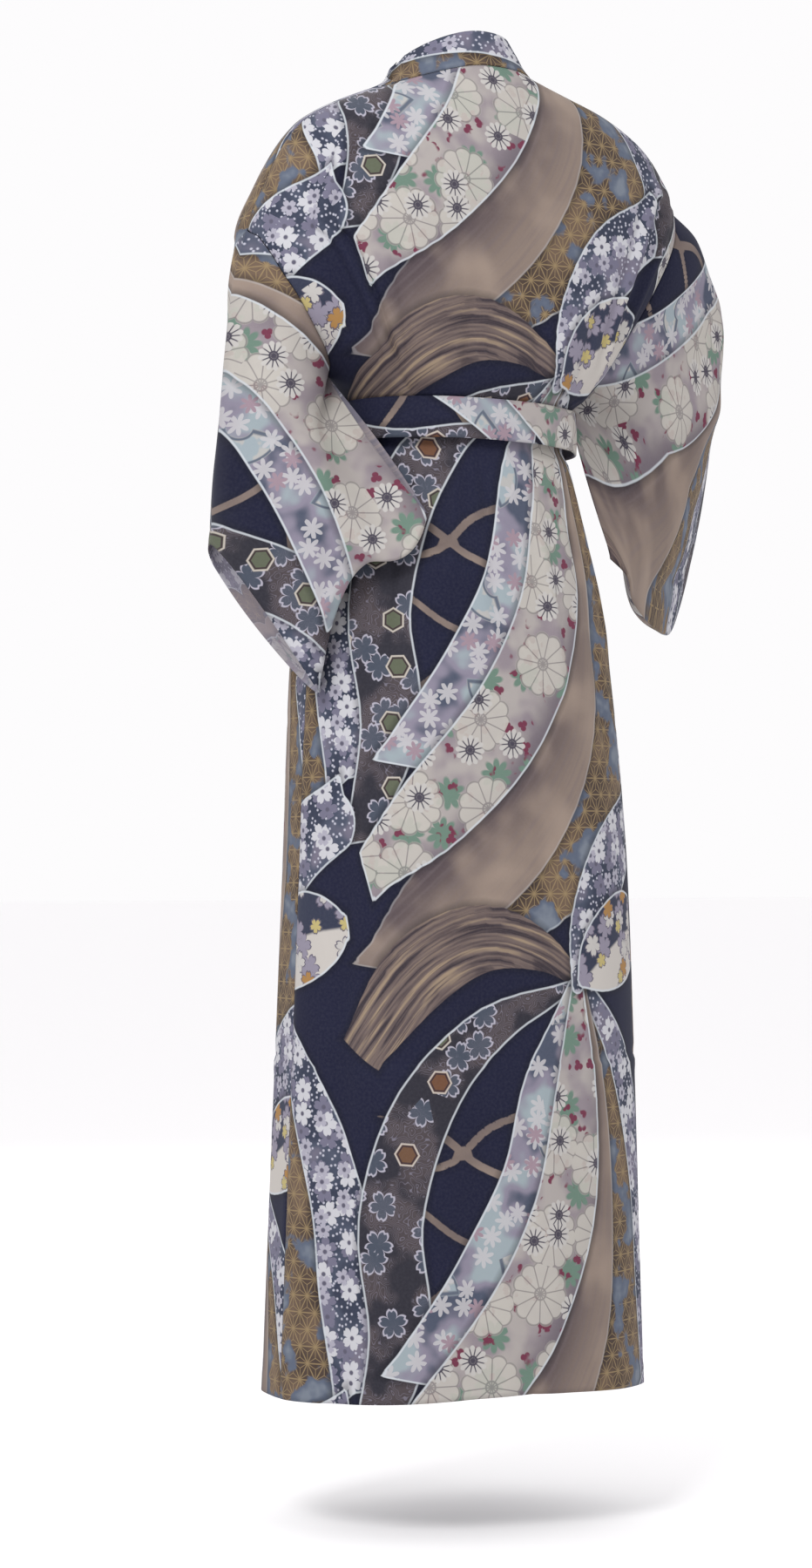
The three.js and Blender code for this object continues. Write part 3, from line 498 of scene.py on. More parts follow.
def collar_place(u, v):
    side, p0, z0 = collar_line(u.shape[1])
    seam = np.empty((len(p0), 3))
    for own in (LEFT, RIGHT):
        mine = side == own
        seam[mine] = bare(own, p0[mine], z0[mine])
    along = np.gradient(seam, axis=0)
    along /= np.linalg.norm(along, axis=1, keepdims=True)
    rows = []
    p, z = p0.copy(), z0.copy()
    for k in range(COLLAR_STEPS + 1):
        share = k / COLLAR_STEPS
        crown = 0.7 * math.sin(math.pi * min(1, share * 1.06)) ** 0.5 - 0.7
        row = np.empty_like(seam)
        for own in (LEFT, RIGHT):
            mine = side == own
            q, h = p[mine], z[mine]
            row[mine] = skin(own, q, h, lift(own, q) + BAND + crown)
            n = outward(own, q, h)
            walk = np.cross(along[mine], n)
            walk /= np.linalg.norm(walk, axis=1, keepdims=True)
            rear = p0[mine] < 0.6
            wrong = np.where(rear, walk[:, 2] < 0, walk[:, 0] * own > 0)
            walk = np.where(wrong[:, None], -walk, walk)
            dp = (bare(own, q + 0.004, h) - bare(own, q - 0.004, h)) / 0.008
            dz = (bare(own, q, h + 2) - bare(own, q, h - 2)) / 4
            pp, pz, zz = (dp * dp).sum(1), (dp * dz).sum(1), (dz * dz).sum(1)
            wp, wz = (walk * dp).sum(1), (walk * dz).sum(1)
            flat = pp * zz - pz * pz
            step = COLLAR_WIDE / COLLAR_STEPS
            p[mine] = q + (wp * zz - wz * pz) / flat * step
            z[mine] = h + (wz * pp - wp * pz) / flat * step
        rows.append(row)
    rows = np.array(rows)
    share = v[:, 0] * COLLAR_STEPS
    low = np.minimum(share.astype(int), COLLAR_STEPS - 1)
    part = (share - low)[:, None, None]
    return rows[low] * (1 - part) + rows[low + 1] * part


def collar_lay(points, run, rise):
    return rise + 155, run - run[:, run.shape[1] // 2][:, None] - 20


collar = panel("collar_cloth", ["collar"], 320, 12, collar_place, collar_lay, thick=2.2)

# %% [markdown]
# A sleeve is one cloth folded over the arm. Its upper half is sewn to the arm
# opening, and the rest of its inner edge hangs free. The ring of the grid starts at
# the sewn lower edge, runs up the back layer, over the fold and down the front.

# %% Sleeves
# share of the way to the cuff, top x y z, low x y z, bulge of front and back layers
SLEEVE_LEFT = (
    (0, 242, 0, -191, 99, 115, -483, 10, 10), (0.25, 259, -3, -262, 136, 100, -517, 46, 28),
    (0.5, 264, -12, -345, 164, 80, -543, 60, 34), (0.75, 264, -28, -425, 178, 60, -590, 76, 36),
    (1, 256, -55, -508, 186, 42, -662, 92, 36),
)
SLEEVE_RIGHT = (
    (0, -259, 0, -126, -179, 28, -511, 10, 10),
    (0.25, -298, 3, -158, -207, 12, -538, 48, 24),
    (0.5, -328, 1, -216, -249, -25, -561, 56, 22),
    (0.75, -352, -42, -268, -304, -80, -574, 58, 20),
    (1, -390, -114, -292, -362, -140, -578, 54, 18),
)
# side, place round (0.25 is the back layer), middle and half length along the arm,
# half width, depth, lean
SLEEVE_CREASES = (
    (LEFT, 0.30, 0.45, 0.5, 0.030, -6.4, 0.10), (LEFT, 0.18, 0.55, 0.45, 0.026, 5.6, -0.08),
    (LEFT, 0.40, 0.35, 0.4, 0.022, -4.8, 0.06), (LEFT, 0.10, 0.8, 0.3, 0.022, 4.0, 0.05),
    (LEFT, 0.70, 0.5, 0.5, 0.030, -6.4, -0.08), (LEFT, 0.84, 0.6, 0.4, 0.026, 4.8, 0.06),
    (RIGHT, 0.20, 0.4, 0.4, 0.028, -6.4, 0.12), (RIGHT, 0.30, 0.55, 0.5, 0.026, 5.6, 0.10),
    (RIGHT, 0.38, 0.3, 0.35, 0.022, -4.8, 0.08), (RIGHT, 0.12, 0.7, 0.35, 0.024, -4.8, 0.06),
    (RIGHT, 0.68, 0.5, 0.5, 0.030, -6.4, -0.1), (RIGHT, 0.82, 0.6, 0.4, 0.026, 4.8, 0.06),
)
ATTACHED = 0.56


def triple(table, first, t):
    """Three columns of a sleeve table as points."""
    return np.stack([read(table, first + k, t) for k in range(3)], -1)


def inner_edge(side, table, s):
    """First ring of a sleeve: the arm opening, then the free inner edge."""
    turn = s % (2 * math.pi)
    front = turn < math.pi
    h = np.where(front, turn, 2 * math.pi - turn) / math.pi
    p = np.where(front, 0.500001, 0.5)
    away = np.array((side, 0, -0.4)) / math.hypot(1, 0.4)
    r = np.minimum(1, h / ATTACHED)
    share = 0.45 * r + 0.275 * (1 - np.cos(r * math.pi))
    z = SEAM_TOP[side] - (SEAM_TOP[side] - UNDERARM[side]) * share
    sewn = bare(side, p, z) + away * (0.5 + 0.5 * smooth((r - 0.35) / 0.5))[:, None]
    under = bare(side, 0.5, UNDERARM[side] + 0.5) + away
    low = triple(table, 4, 0.0)
    r = np.clip((h - ATTACHED) / (1 - ATTACHED), 0, 1)[:, None]
    way = np.cross(low - under, (0, 0, 1))
    way /= np.linalg.norm(way)
    puff = 9 * np.sin(math.pi * np.minimum(1, r * 0.98)) * np.sign(way[1])
    free = under + (low - under) * r + way * puff * np.where(front, -1, 1)[:, None]
    return np.where((h <= ATTACHED)[:, None], sewn, free)


def sleeve_place(side, table):
    def place(u, v):
        s = math.pi + u[0] * 2 * math.pi
        t = v[:, 0]
        top, bottom = triple(table, 1, t), triple(table, 4, t)
        ahead = triple(table, 1, np.minimum(1, t + 0.1)) - triple(table, 1, np.maximum(0, t - 0.1))
        face = np.cross(bottom - top, ahead)
        face *= -np.sign(face[:, 1:2])
        if side == LEFT:
            face[:] = (-0.35, -0.93, 0)
        face[:, 2] = 0
        face /= np.linalg.norm(face, axis=1, keepdims=True)
        down = 0.5 - 0.5 * np.cos(s)
        wave = np.sin(s)
        bulge = np.where(wave > 0, read(table, 7, t)[:, None], read(table, 8, t)[:, None])
        out = wave * bulge * (1 + 0.35 * (1 - down) - 0.25 * down)
        loop = (top[:, None] + (bottom - top)[:, None] * down[None, :, None]
                + face[:, None] * out[..., None])
        first = inner_edge(side, table, s)
        slide = first[None] + (top - triple(table, 1, 0.0))[:, None]
        middle = slide + (loop - slide) * smooth(t / 0.4)[:, None, None]
        middle[:, -1] = middle[:, 0]
        around = np.roll(middle[:, :-1], -1, 1) - np.roll(middle[:, :-1], 1, 1)
        around = np.concatenate((around, around[:, :1]), 1)
        n = np.cross(around, np.gradient(middle, axis=0))
        n /= np.linalg.norm(n, axis=2, keepdims=True)
        core = middle[:, :-1].mean(1)[:, None]
        n *= np.sign((n * (middle - core)).sum(2).mean())
        off = np.full(u.shape, WALL)
        for own, at, mid, half, wide, deep, lean in SLEEVE_CREASES:
            if own == side:
                run = (v - mid) / half
                off += deep * np.exp(-((u - at - lean * run) / wide) ** 2) * (1 - smooth(np.abs(run)))
        off += 0.5 * smooth((t - 0.955) / 0.01)[:, None]
        off -= 0.6 * np.exp(-((t - 0.95) / 0.006) ** 2)[:, None]
        return middle + n * off[..., None]
    return place


def sleeve_lay(across, angle, shift):
    """Flat place of a sleeve: its two layers laid open on both sides of the fold."""
    def lay(points, run, rise):
        fold = run.shape[1] // 2
        seen = np.stack((points @ np.array(across + (0,)), points[..., 2]), -1)
        ahead = np.gradient(seen[:, fold:fold + 1], axis=0)
        ahead /= np.linalg.norm(ahead, axis=2, keepdims=True)
        step = np.diff(seen, axis=1)
        front = 2 * (step * ahead).sum(2, keepdims=True) * ahead - step
        front /= np.maximum(1e-6, np.linalg.norm(front, axis=2, keepdims=True))
        front *= np.diff(run, axis=1)[..., None]
        step = np.where((np.arange(len(step[0])) >= fold)[None, :, None], front, step)
        walked = np.zeros_like(seen)
        walked[:, 1:] = np.cumsum(step, axis=1)
        place = seen[:, fold:fold + 1] + walked - walked[:, fold:fold + 1]
        c, s = math.cos(math.radians(angle)), math.sin(math.radians(angle))
        return (place[..., 0] * c + place[..., 1] * s + shift[0],
                place[..., 1] * c - place[..., 0] * s + shift[1])
    return lay


def sleeve_core(points):
    return points.reshape(-1, 3).mean(0)


left_sleeve = panel("sleeve_left_cloth", ["sleeve_left"], 190, 74,
                    sleeve_place(LEFT, SLEEVE_LEFT), sleeve_lay((-0.93, 0.35), 60, (435, -560)),
                    ring=True, inside=sleeve_core)
right_sleeve = panel("sleeve_right_cloth", ["sleeve_right"], 190, 74,
                     sleeve_place(RIGHT, SLEEVE_RIGHT),
                     lambda p, run, rise: (rise - 80, run - run[:, 95:96] - 440),
                     ring=True, inside=sleeve_core)

# %% [markdown]
# The belt is a soft folded band of the same cloth. It is wound once round the
# waist over the wrap, tied in one crossed turn in front of the wearer's right hip,
# and its two ends hang on the skirt.

# %% Belt
BELT_AT = -384.0
BELT_WIDE = 42.0
TIE = 0.8
KNOT_DEEP = 15.0


def under(side, p):
    """Height of what lies on the body under the belt."""
    reach = np.where(side > 0, 0.16, 0.2)
    return np.where(p < 0.5, WALL, WALL + (OVER + BAND - WALL) * smooth((p - 0.5) / reach))


def level_out(side, p):
    """Outward direction at the belt, kept level."""
    n = outward(LEFT, p, np.full_like(p, BELT_AT)) * (1, 1, 0)
    m = outward(RIGHT, p, np.full_like(p, BELT_AT)) * (1, 1, 0)
    n = np.where((side > 0)[:, None], n, m)
    return n / np.linalg.norm(n, axis=1, keepdims=True)


def belt_off(side, p, n):
    """How far the inner face of the belt stands off the body."""
    here = bare(side, p, BELT_AT)
    reach = np.zeros_like(p)
    for dz in (-28, -14, 0, 14, 28):
        out = ((bare(side, p, BELT_AT + dz) - here) * n).sum(1)
        reach = np.maximum(reach, np.minimum(out, 14))
    return under(side, p) + 0.3 + np.maximum(0, reach - 0.6)


def belt_place(u, v):
    turn = u[0] * 2
    side = np.where(turn < 1, LEFT, RIGHT)
    p = np.where(turn < 1, turn, 2 - turn)
    n = level_out(side, p)
    tilt = 3 * np.cos(turn * math.pi) + side * 3 * np.sin(math.pi * p)
    base = bare(side, p, BELT_AT) + n * belt_off(side, p, n)[:, None]
    share = v[:, 0]
    crown = 2.6 + 0.5 * np.sin(math.pi * share)[:, None]
    ripple = 0.35 * np.sin(share * 9)[:, None] * np.sin(turn * 21)[None]
    points = base[None] + n[None] * (crown + ripple)[..., None]
    points[..., 2] = BELT_AT + (share[:, None] - 0.5) * BELT_WIDE + tilt[None]
    points[:, -1] = points[:, 0]
    return points


def belt_lay(points, run, rise):
    """The strip starts and ends behind the knot."""
    late = np.linspace(0, 1, run.shape[1]) > 0.6
    return rise - 125, run - run[:, -1:] * late - 80


belt = panel("belt_band_cloth", ["belt_band"], 180, 12, belt_place, belt_lay,
             ring=True, thick=2.4)


def tie_frame():
    """Middle of the knot, its outward direction and its level direction."""
    side, p = np.array([RIGHT]), np.array([TIE])
    n = level_out(side, p)
    base = bare(side, p, BELT_AT)
    far = belt_off(side, p, n) + BAND + KNOT_DEEP + 0.7
    centre = base + n * far[:, None]
    return base[0], centre[0], n[0], np.array((-n[0][1], n[0][0], 0))


def knot_place(u, v):
    base, centre, n, across = tie_frame()
    a = v * math.pi
    b = u * 2 * math.pi
    r = np.abs(np.sin(a)) ** 0.7
    wide = 23.5 * np.sign(np.cos(a)) * np.abs(np.cos(a)) ** 0.7
    groove = 1 - 0.10 * np.exp(-((np.cos(a) * 1.6 - np.sin(b)) / 0.16) ** 2)
    groove = groove - 0.05 * np.exp(-((np.cos(a) * 1.6 + np.sin(b) - 0.7) / 0.12) ** 2)
    out = KNOT_DEEP * r * np.sign(np.cos(b)) * np.abs(np.cos(b)) ** 0.75 * groove
    tall = 21.5 * r * np.sign(np.sin(b)) * np.abs(np.sin(b)) ** 0.75 * groove
    points = centre + across * wide[..., None] + n * out[..., None]
    points[..., 2] += tall
    return points


knot = panel("belt_knot_cloth", ["belt_knot"], 72, 40, knot_place,
             lambda p, run, rise: (rise * 0.8, run * 0.8), ring=True, thick=0.9,
             inside=lambda points: points.reshape(-1, 3).mean(0))


def end_place(start, swing, long):
    def place(u, v):
        base0, centre, n, across = tie_frame()
        s = 1 - v
        wide = BELT_WIDE * (0.36 + 0.64 * smooth(s * 3))
        z = BELT_AT - 22.3 - s * long
        move = start + swing * smooth(s * 1.4) + (u - 0.5) * wide
        base = base0 + across * move[..., None]
        base[..., 2] = z
        far = np.full(u.shape, -1000.0)
        for dz in (0, 14):
            for q in (0.5, 0.56, 0.62, 0.68, 0.74, 0.8, 0.86, 0.92, 1):
                out = ((bare(RIGHT, q, z + dz) - base) * n).sum(-1)
                far = np.maximum(far, out)
        top = ((centre - base) * n).sum(-1)
        rest = far + OVER + BAND + 7 + 2 * np.sin(s * 5 + u * 2)
        off = top + (rest - top) * smooth(s * 3.2) + BAND - 0.3
        off = off + 0.4 * np.sin(u * 8 + s * 4) * smooth(s * 4)
        return base + n * off[..., None]
    return place


for word, start, swing, long in (("left", -11, -46, 210), ("right", 11, 44, 250)):
    end = panel(f"belt_end_{word}_cloth", [f"belt_end_{word}"], 10, 60,
                end_place(start, swing, long),
                lambda p, run, rise: (run + 220, rise + 40), thick=2.4)

# %% [markdown]
# The print shows bundles of long ribbons that are tied in a knot and sweep down the
# cloth, an old festive pattern. Each ribbon is drawn here as a line with a
# half width. The drawing repeats every 620 mm along the cloth and 400 mm across it.
# For each vertex the script works out how far along each ribbon it lies, how far
# beside the middle of it, and how far outside its edge, and keeps that as three
# numbers on the mesh. The material then needs only those numbers.

# %% Ribbons of the print
REPEAT = np.array((400.0, 620.0))
KNOT_AT = np.array((64.0, -342.0))
# x and y from the knot in mm, x to the right as seen from the back, half width in mm
RIBBONS = {
    "cords": (
        ((-4, -150, 2), (-46, -128, 4), (-104, -140, 4), (-150, -176, 4), (-206, -186, 2)),
        ((-14, -176, 2), (-66, -196, 4), (-118, -180, 4), (-164, -146, 4), (-214, -132, 2)),
        ((-60, -300, 2), (-104, -286, 4), (-150, -300, 4), (-196, -330, 4), (-250, -340, 2)),
        ((-20, -250, 1.5), (-80, -268, 3), (-140, -254, 3.5), (-196, -214, 3),
         (-250, -200, 1.5))),
    "hemp_leaf": (((10, -10, 6), (62, -140, 36), (80, -270, 60), (60, -390, 68),
                   (-14, -490, 50), (-92, -575, 18)),),
    "cherry_side": (((10, 0, 8), (78, -90, 24), (126, -210, 32), (140, -310, 35),
                     (146, -395, 28)),),
    "spread": (((10, 0, 5), (-46, 36, 20), (-112, 50, 34), (-178, 18, 38), (-238, -58, 26)),),
    "sand": (((5, 0, 6), (24, -110, 15), (24, -230, 25), (0, -350, 38), (-66, -450, 50),
              (-146, -528, 46), (-214, -592, 24)),),
    "tortoise": (((-10, 0, 6), (-104, -40, 22), (-176, -120, 31), (-214, -236, 34),
                  (-206, -352, 32), (-240, -462, 18)),),
    "maple": (((-5, 0, 8), (-42, -96, 26), (-62, -196, 34), (-112, -296, 38),
               (-188, -386, 27)),),
    "chrysanthemum": (((0, 0, 8), (-4, -118, 30), (-22, -236, 41), (-78, -346, 45),
                       (-158, -436, 41), (-226, -500, 24)),),
    "cherry_top": (((0, 0, 8), (22, 66, 30), (66, 132, 40), (132, 176, 33)),),
    "scroll_leaf": (((8, 6, 8), (46, 34, 40), (88, 52, 46), (130, 60, 14)),),
}
SLANT = {"maple": 0.6, "chrysanthemum": -0.5, "cherry_side": 0.7, "tortoise": 0.5,
         "hemp_leaf": 0.4, "sand": 0.8, "cherry_top": -0.4}


def ribbon_course(rows, fine=5):
    """Points of a smooth line through a ribbon's rows."""
    rows = np.array(rows, float)
    rows = np.vstack((2 * rows[0] - rows[1], rows, 2 * rows[-1] - rows[-2]))
    course = []
    for i in range(1, len(rows) - 2):
        a, b, c, d = rows[i - 1:i + 3]
        for t in np.arange(fine) / fine:
            course.append(0.5 * (2 * b + (c - a) * t + (2 * a - 5 * b + 4 * c - d) * t * t
                                 + (3 * b - a - 3 * c + d) * t ** 3))
    course.append(rows[-2])
    return np.array(course)


GRAIN = 2.5
cells = np.round(REPEAT / GRAIN).astype(int)
grid_x, grid_y = np.meshgrid(np.arange(cells[0]) * GRAIN, np.arange(cells[1]) * GRAIN)


def ribbon_field(name):
    """Along, beside and outside a ribbon, over one repeat of the print."""
    best = np.full(grid_x.shape, 1e6)
    along = np.zeros_like(best)
    beside = np.zeros_like(best)
    slant = SLANT.get(name, 0)
    for rows in RIBBONS[name]:
        course = ribbon_course(rows)
        length = np.linalg.norm(np.diff(course[:, :2], axis=0), axis=1)
        start = np.concatenate(([0], np.cumsum(length)))
        last = len(length) - 1
        for i, j in np.ndindex(5, 5):
            corner = course[:, :2] + KNOT_AT + REPEAT * (i - 2, j - 2)
            if (corner.max(0) < -70).any() or (corner.min(0) > REPEAT + 70).any():
                continue
            for k in range(len(length)):
                way = (corner[k + 1] - corner[k]) / length[k]
                x, y = grid_x - corner[k, 0], grid_y - corner[k, 1]
                t = x * way[0] + y * way[1]
                side = y * way[0] - x * way[1]
                inside = np.clip(t, 0, length[k])
                half = course[k, 2] + (course[k + 1, 2] - course[k, 2]) * inside / length[k]
                out = np.hypot(side, t - inside) - half
                if k == last:
                    over = t - length[k]
                    out = np.where(over > 0, np.abs(side) - half, out)
                    out = np.maximum(out, np.where(t > 0, over + slant * side - 12, -1e6))
                nearer = out < best
                best = np.where(nearer, out, best)
                along = np.where(nearer, start[k] + inside, along)
                beside = np.where(nearer, side, beside)
    return np.stack((along, beside, best), -1)


FIELDS = {name: ribbon_field(name) for name in RIBBONS}
print("ribbons drawn", len(FIELDS), "cells", FIELDS["sand"].shape[:2])


def keep_print_place(piece, domain):
    """Write the place on each ribbon to a panel, read between the cells."""
    mesh = piece.data
    place = np.empty(len(mesh.loops) * 2)
    mesh.uv_layers["cloth"].data.foreach_get("uv", place)
    place = place.reshape(-1, 2) / MM
    if domain == "POINT":
        owner = np.empty(len(mesh.loops), int)
        mesh.loops.foreach_get("vertex_index", owner)
        by_vertex = np.zeros((len(mesh.vertices), 2))
        by_vertex[owner] = place
        place = by_vertex
    spot = (place % REPEAT) / GRAIN
    low = np.floor(spot).astype(int)
    part = spot - low
    x0, y0 = low[:, 0] % cells[0], low[:, 1] % cells[1]
    x1, y1 = (x0 + 1) % cells[0], (y0 + 1) % cells[1]
    px, py = part[:, :1], part[:, 1:]
    for name, field in FIELDS.items():
        bottom = field[y0, x0] * (1 - px) + field[y0, x1] * px
        top = field[y1, x0] * (1 - px) + field[y1, x1] * px
        value = (bottom * (1 - py) + top * py).astype(np.float32)
        kept = mesh.attributes.new(name, "FLOAT_VECTOR", domain)
        kept.data.foreach_set("vector", value.ravel())


for name, piece in PANELS.items():
    ring = name.startswith("sleeve") or name in ("belt_band_cloth", "belt_knot_cloth")
    keep_print_place(piece, "CORNER" if ring else "POINT")

# %% [markdown]
# Materials are networks of nodes. One small function adds a node with its settings
# and links, and one turns the sRGB hex colours of the dyes to linear light.

# %% Helpers for materials
def to_linear(code):
    """sRGB hex colour as linear RGBA."""
    parts = [int(code[i:i + 2], 16) / 255 for i in (1, 3, 5)]
    return [c / 12.92 if c <= 0.04045 else ((c + 0.055) / 1.055) ** 2.4 for c in parts] + [1.0]


def add(tree, kind, *values, **settings):
    """Add a node: values fill its inputs in order, None leaves one as it is."""
    made = tree.nodes.new("ShaderNode" + kind)
    for key, setting in settings.items():
        setattr(made, key, setting)
    for socket, value in zip(made.inputs, values):
        if value is None:
            continue
        if isinstance(value, str):
            value = to_linear(value)
        if isinstance(value, bpy.types.Node):
            value = value.outputs[0]
        if isinstance(value, bpy.types.NodeSocket):
            tree.links.new(value, socket)
        else:
            socket.default_value = value
    return made


def new_group(name, takes, gives):
    """Empty node group with its input and output sockets."""
    tree = bpy.data.node_groups.new(name, "ShaderNodeTree")
    for words, way in ((takes, "INPUT"), (gives, "OUTPUT")):
        for word, kind in words:
            tree.interface.new_socket(word, in_out=way, socket_type="NodeSocket" + kind)
    start = tree.nodes.new("NodeGroupInput")
    end = tree.nodes.new("NodeGroupOutput")
    return tree, start.outputs, end


def close(tree, end, *results):
    """Join the results of a group to its outputs."""
    for socket, result in zip(end.inputs, results):
        tree.links.new(result.outputs[0] if isinstance(result, bpy.types.Node) else result,
                       socket)


# %% [markdown]
# All flowers of the print come from one group. It scatters cells over the cloth,
# takes the place inside each cell as a distance and an angle from its middle, and
# gives back how far inside the petals a point lies. The number of petals, and how
# round or pointed they are, make a cherry blossom, a chrysanthemum or a maple leaf.

# %% Scattered flowers
def make_flowers():
    """Group: inside the petals, distance from the middle, between petals, chance."""
    tree, take, end = new_group(
        "scattered_flowers",
        [("Place", "Vector"), ("Spacing", "Float"), ("Loose", "Float"), ("Radius", "Float"),
         ("Petals", "Float"), ("Depth", "Float"), ("Point", "Float"), ("Notch", "Float")],
        [("Inside", "Float"), ("Middle", "Float"), ("Between", "Float"), ("Chance", "Color")])
    place, spacing, loose, radius, petals, depth, point, deep = take[:8]
    scaled = add(tree, "VectorMath", place, spacing, operation="DIVIDE")
    cell = add(tree, "TexVoronoi", scaled, voronoi_dimensions="2D", feature="F1")
    cell.inputs["Scale"].default_value = 1.0
    tree.links.new(loose, cell.inputs["Randomness"])
    local = add(tree, "VectorMath", scaled, cell.outputs["Position"], operation="SUBTRACT")
    local = add(tree, "VectorMath", local, spacing, operation="MULTIPLY")
    part = add(tree, "SeparateXYZ", local)
    chance = add(tree, "SeparateColor", cell.outputs["Color"])
    angle = add(tree, "Math", part.outputs[1], part.outputs[0], operation="ARCTAN2")
    turn = add(tree, "Math", chance.outputs[1], 6.28, angle, operation="MULTIPLY_ADD")
    half = add(tree, "Math", petals, 0.5, operation="MULTIPLY")
    wave = add(tree, "Math", turn, half, operation="MULTIPLY")
    wave = add(tree, "Math", wave, operation="COSINE")
    wave = add(tree, "Math", wave, operation="ABSOLUTE")
    far = add(tree, "VectorMath", local, operation="LENGTH")
    far = far.outputs["Value"]
    shape = add(tree, "Math", wave, point, operation="POWER")
    shape = add(tree, "Math", shape, 1.0, operation="SUBTRACT")
    shape = add(tree, "Math", shape, depth, 1.0, operation="MULTIPLY_ADD")
    notch = add(tree, "Math", wave, 0.95, operation="SUBTRACT")
    notch = add(tree, "Math", notch, 0.0, operation="MAXIMUM")
    notch = add(tree, "Math", notch, deep, operation="MULTIPLY")
    shape = add(tree, "Math", shape, notch, operation="SUBTRACT")
    inside = add(tree, "Math", shape, radius, operation="MULTIPLY")
    inside = add(tree, "Math", inside, far, operation="SUBTRACT")
    between = add(tree, "Math", wave, far, operation="MULTIPLY")
    between = add(tree, "Math", between, half, operation="DIVIDE")
    close(tree, end, inside, far, between, cell.outputs["Color"])
    return tree


FLOWERS = make_flowers()


def flowers(tree, place, spacing, loose, radius, petals, depth, point, notch=0.0):
    """Use the group of scattered flowers with one set of sizes in mm."""
    made = tree.nodes.new("ShaderNodeGroup")
    made.node_tree = FLOWERS
    tree.links.new(place, made.inputs[0])
    for k, value in enumerate((spacing, loose, radius, petals, depth, point, notch)):
        made.inputs[k + 1].default_value = value
    return made.outputs


def soft_edge(tree, value, width=0.9):
    """1 where a value is well above zero, over an edge of a width in mm."""
    return add(tree, "Math", value, 1 / width, 0.5, operation="MULTIPLY_ADD", use_clamp=True)


def thin_line(tree, value, at, width):
    """1 along the line where a value equals another, of a width in mm."""
    away = add(tree, "Math", value, at, operation="SUBTRACT")
    away = add(tree, "Math", away, operation="ABSOLUTE")
    return add(tree, "Math", away, -2 / width, 1.5, operation="MULTIPLY_ADD", use_clamp=True)


def dyed(tree, under, over, share):
    """One dye printed over another where share is 1."""
    return add(tree, "MixRGB", share, under, over)


def by_chance(tree, share, chance, low):
    """Keep only the cells whose chance is above a value."""
    part = add(tree, "SeparateColor", chance)
    keep = add(tree, "Math", part.outputs[0], low, operation="GREATER_THAN")
    return add(tree, "Math", share, keep, operation="MULTIPLY")


def moved(tree, place, x, y):
    """Place of the cloth, moved so that another scatter begins elsewhere."""
    return add(tree, "VectorMath", place, (x, y, 0), operation="ADD").outputs[0]


def cloudy(tree, place, size, detail=2.0):
    """Slow change over the cloth, from 0 to 1, with patches of a size in mm."""
    made = add(tree, "TexNoise", place, noise_dimensions="2D")
    made.inputs["Scale"].default_value = 1 / size
    made.inputs["Detail"].default_value = detail
    return made.outputs["Factor"] if "Factor" in made.outputs else made.outputs[0]


def stepped(tree, value, low, high):
    """0 below low and 1 above high."""
    return add(tree, "MapRange", value, low, high, interpolation_type="SMOOTHSTEP").outputs[0]


# %% [markdown]
# Each kind of ribbon has a filling of its own. The pale one carries large
# chrysanthemums with grey outlines, small outlined ones, green blossoms and red
# leaves. Sizes are those of the cloth: 66 mm for the large flowers, 29 mm for the
# small ones.

# %% Chrysanthemum ribbon
def fill_chrysanthemum():
    tree, take, end = new_group("chrysanthemum_fill", [("Place", "Vector"), ("Ribbon", "Vector")],
                                [("Color", "Color")])
    place = take[0]
    tone = stepped(tree, cloudy(tree, place, 45), 0.35, 0.65)
    colour = dyed(tree, "#80777D", "#999390", tone)
    beside = add(tree, "SeparateXYZ", take[1])
    dim = stepped(tree, beside.outputs[1], 8, 46)
    colour = dyed(tree, colour, "#635B62", dim)
    inside, middle, between, chance = flowers(tree, moved(tree, place, 13, 31), 46, 0.7, 17, 9,
                                              0.45, 0.8)[:4]
    leaf = by_chance(tree, soft_edge(tree, inside, 3), chance, 0.35)
    colour = dyed(tree, colour, "#5F7569", leaf)
    inside, middle, between, chance = flowers(tree, moved(tree, place, 40, 7), 17, 0.9, 6, 3,
                                              0.5, 0.7)[:4]
    patch = stepped(tree, cloudy(tree, moved(tree, place, 70, 0), 30), 0.52, 0.58)
    red = add(tree, "Math", soft_edge(tree, inside), patch, operation="MULTIPLY")
    colour = dyed(tree, colour, "#653042", red)
    inside, middle, between, chance = flowers(tree, place, 72, 0.55, 34, 11, 0.16, 0.5)[:4]
    whole = by_chance(tree, soft_edge(tree, inside), chance, 0.2)
    whole = add(tree, "Math", whole, 0.82, operation="MULTIPLY")
    veins = add(tree, "Math", between, -1 / 0.55, 1.6, operation="MULTIPLY_ADD", use_clamp=True)
    rim = thin_line(tree, inside, 1.2, 2.2)
    heart = thin_line(tree, middle, 6.0, 2.0)
    lines = add(tree, "Math", veins, rim, operation="MAXIMUM")
    lines = add(tree, "Math", lines, heart, operation="MAXIMUM")
    petal = dyed(tree, "#ABA7A0", "#7C7876", lines)
    colour = dyed(tree, colour, petal, whole)
    inside, middle, between, chance = flowers(tree, moved(tree, place, 33, 50), 50, 0.75, 15.5, 12,
                                              0.3, 0.6)[:4]
    whole = by_chance(tree, soft_edge(tree, inside), chance, 0.35)
    gap = add(tree, "Math", between, -1 / 0.6, 1.5, operation="MULTIPLY_ADD", use_clamp=True)
    ring = thin_line(tree, middle, 4.2, 2.2)
    gap = add(tree, "Math", gap, ring, operation="MAXIMUM")
    petal = dyed(tree, "#ABA8A5", "#403C47", gap)
    colour = dyed(tree, colour, petal, whole)
    close(tree, end, colour)
    return tree


# %% [markdown]
# The maple ribbon runs from slate through mauve to pale blue-grey. Pale leaves with
# seven points are scattered over it, with open fans between them.

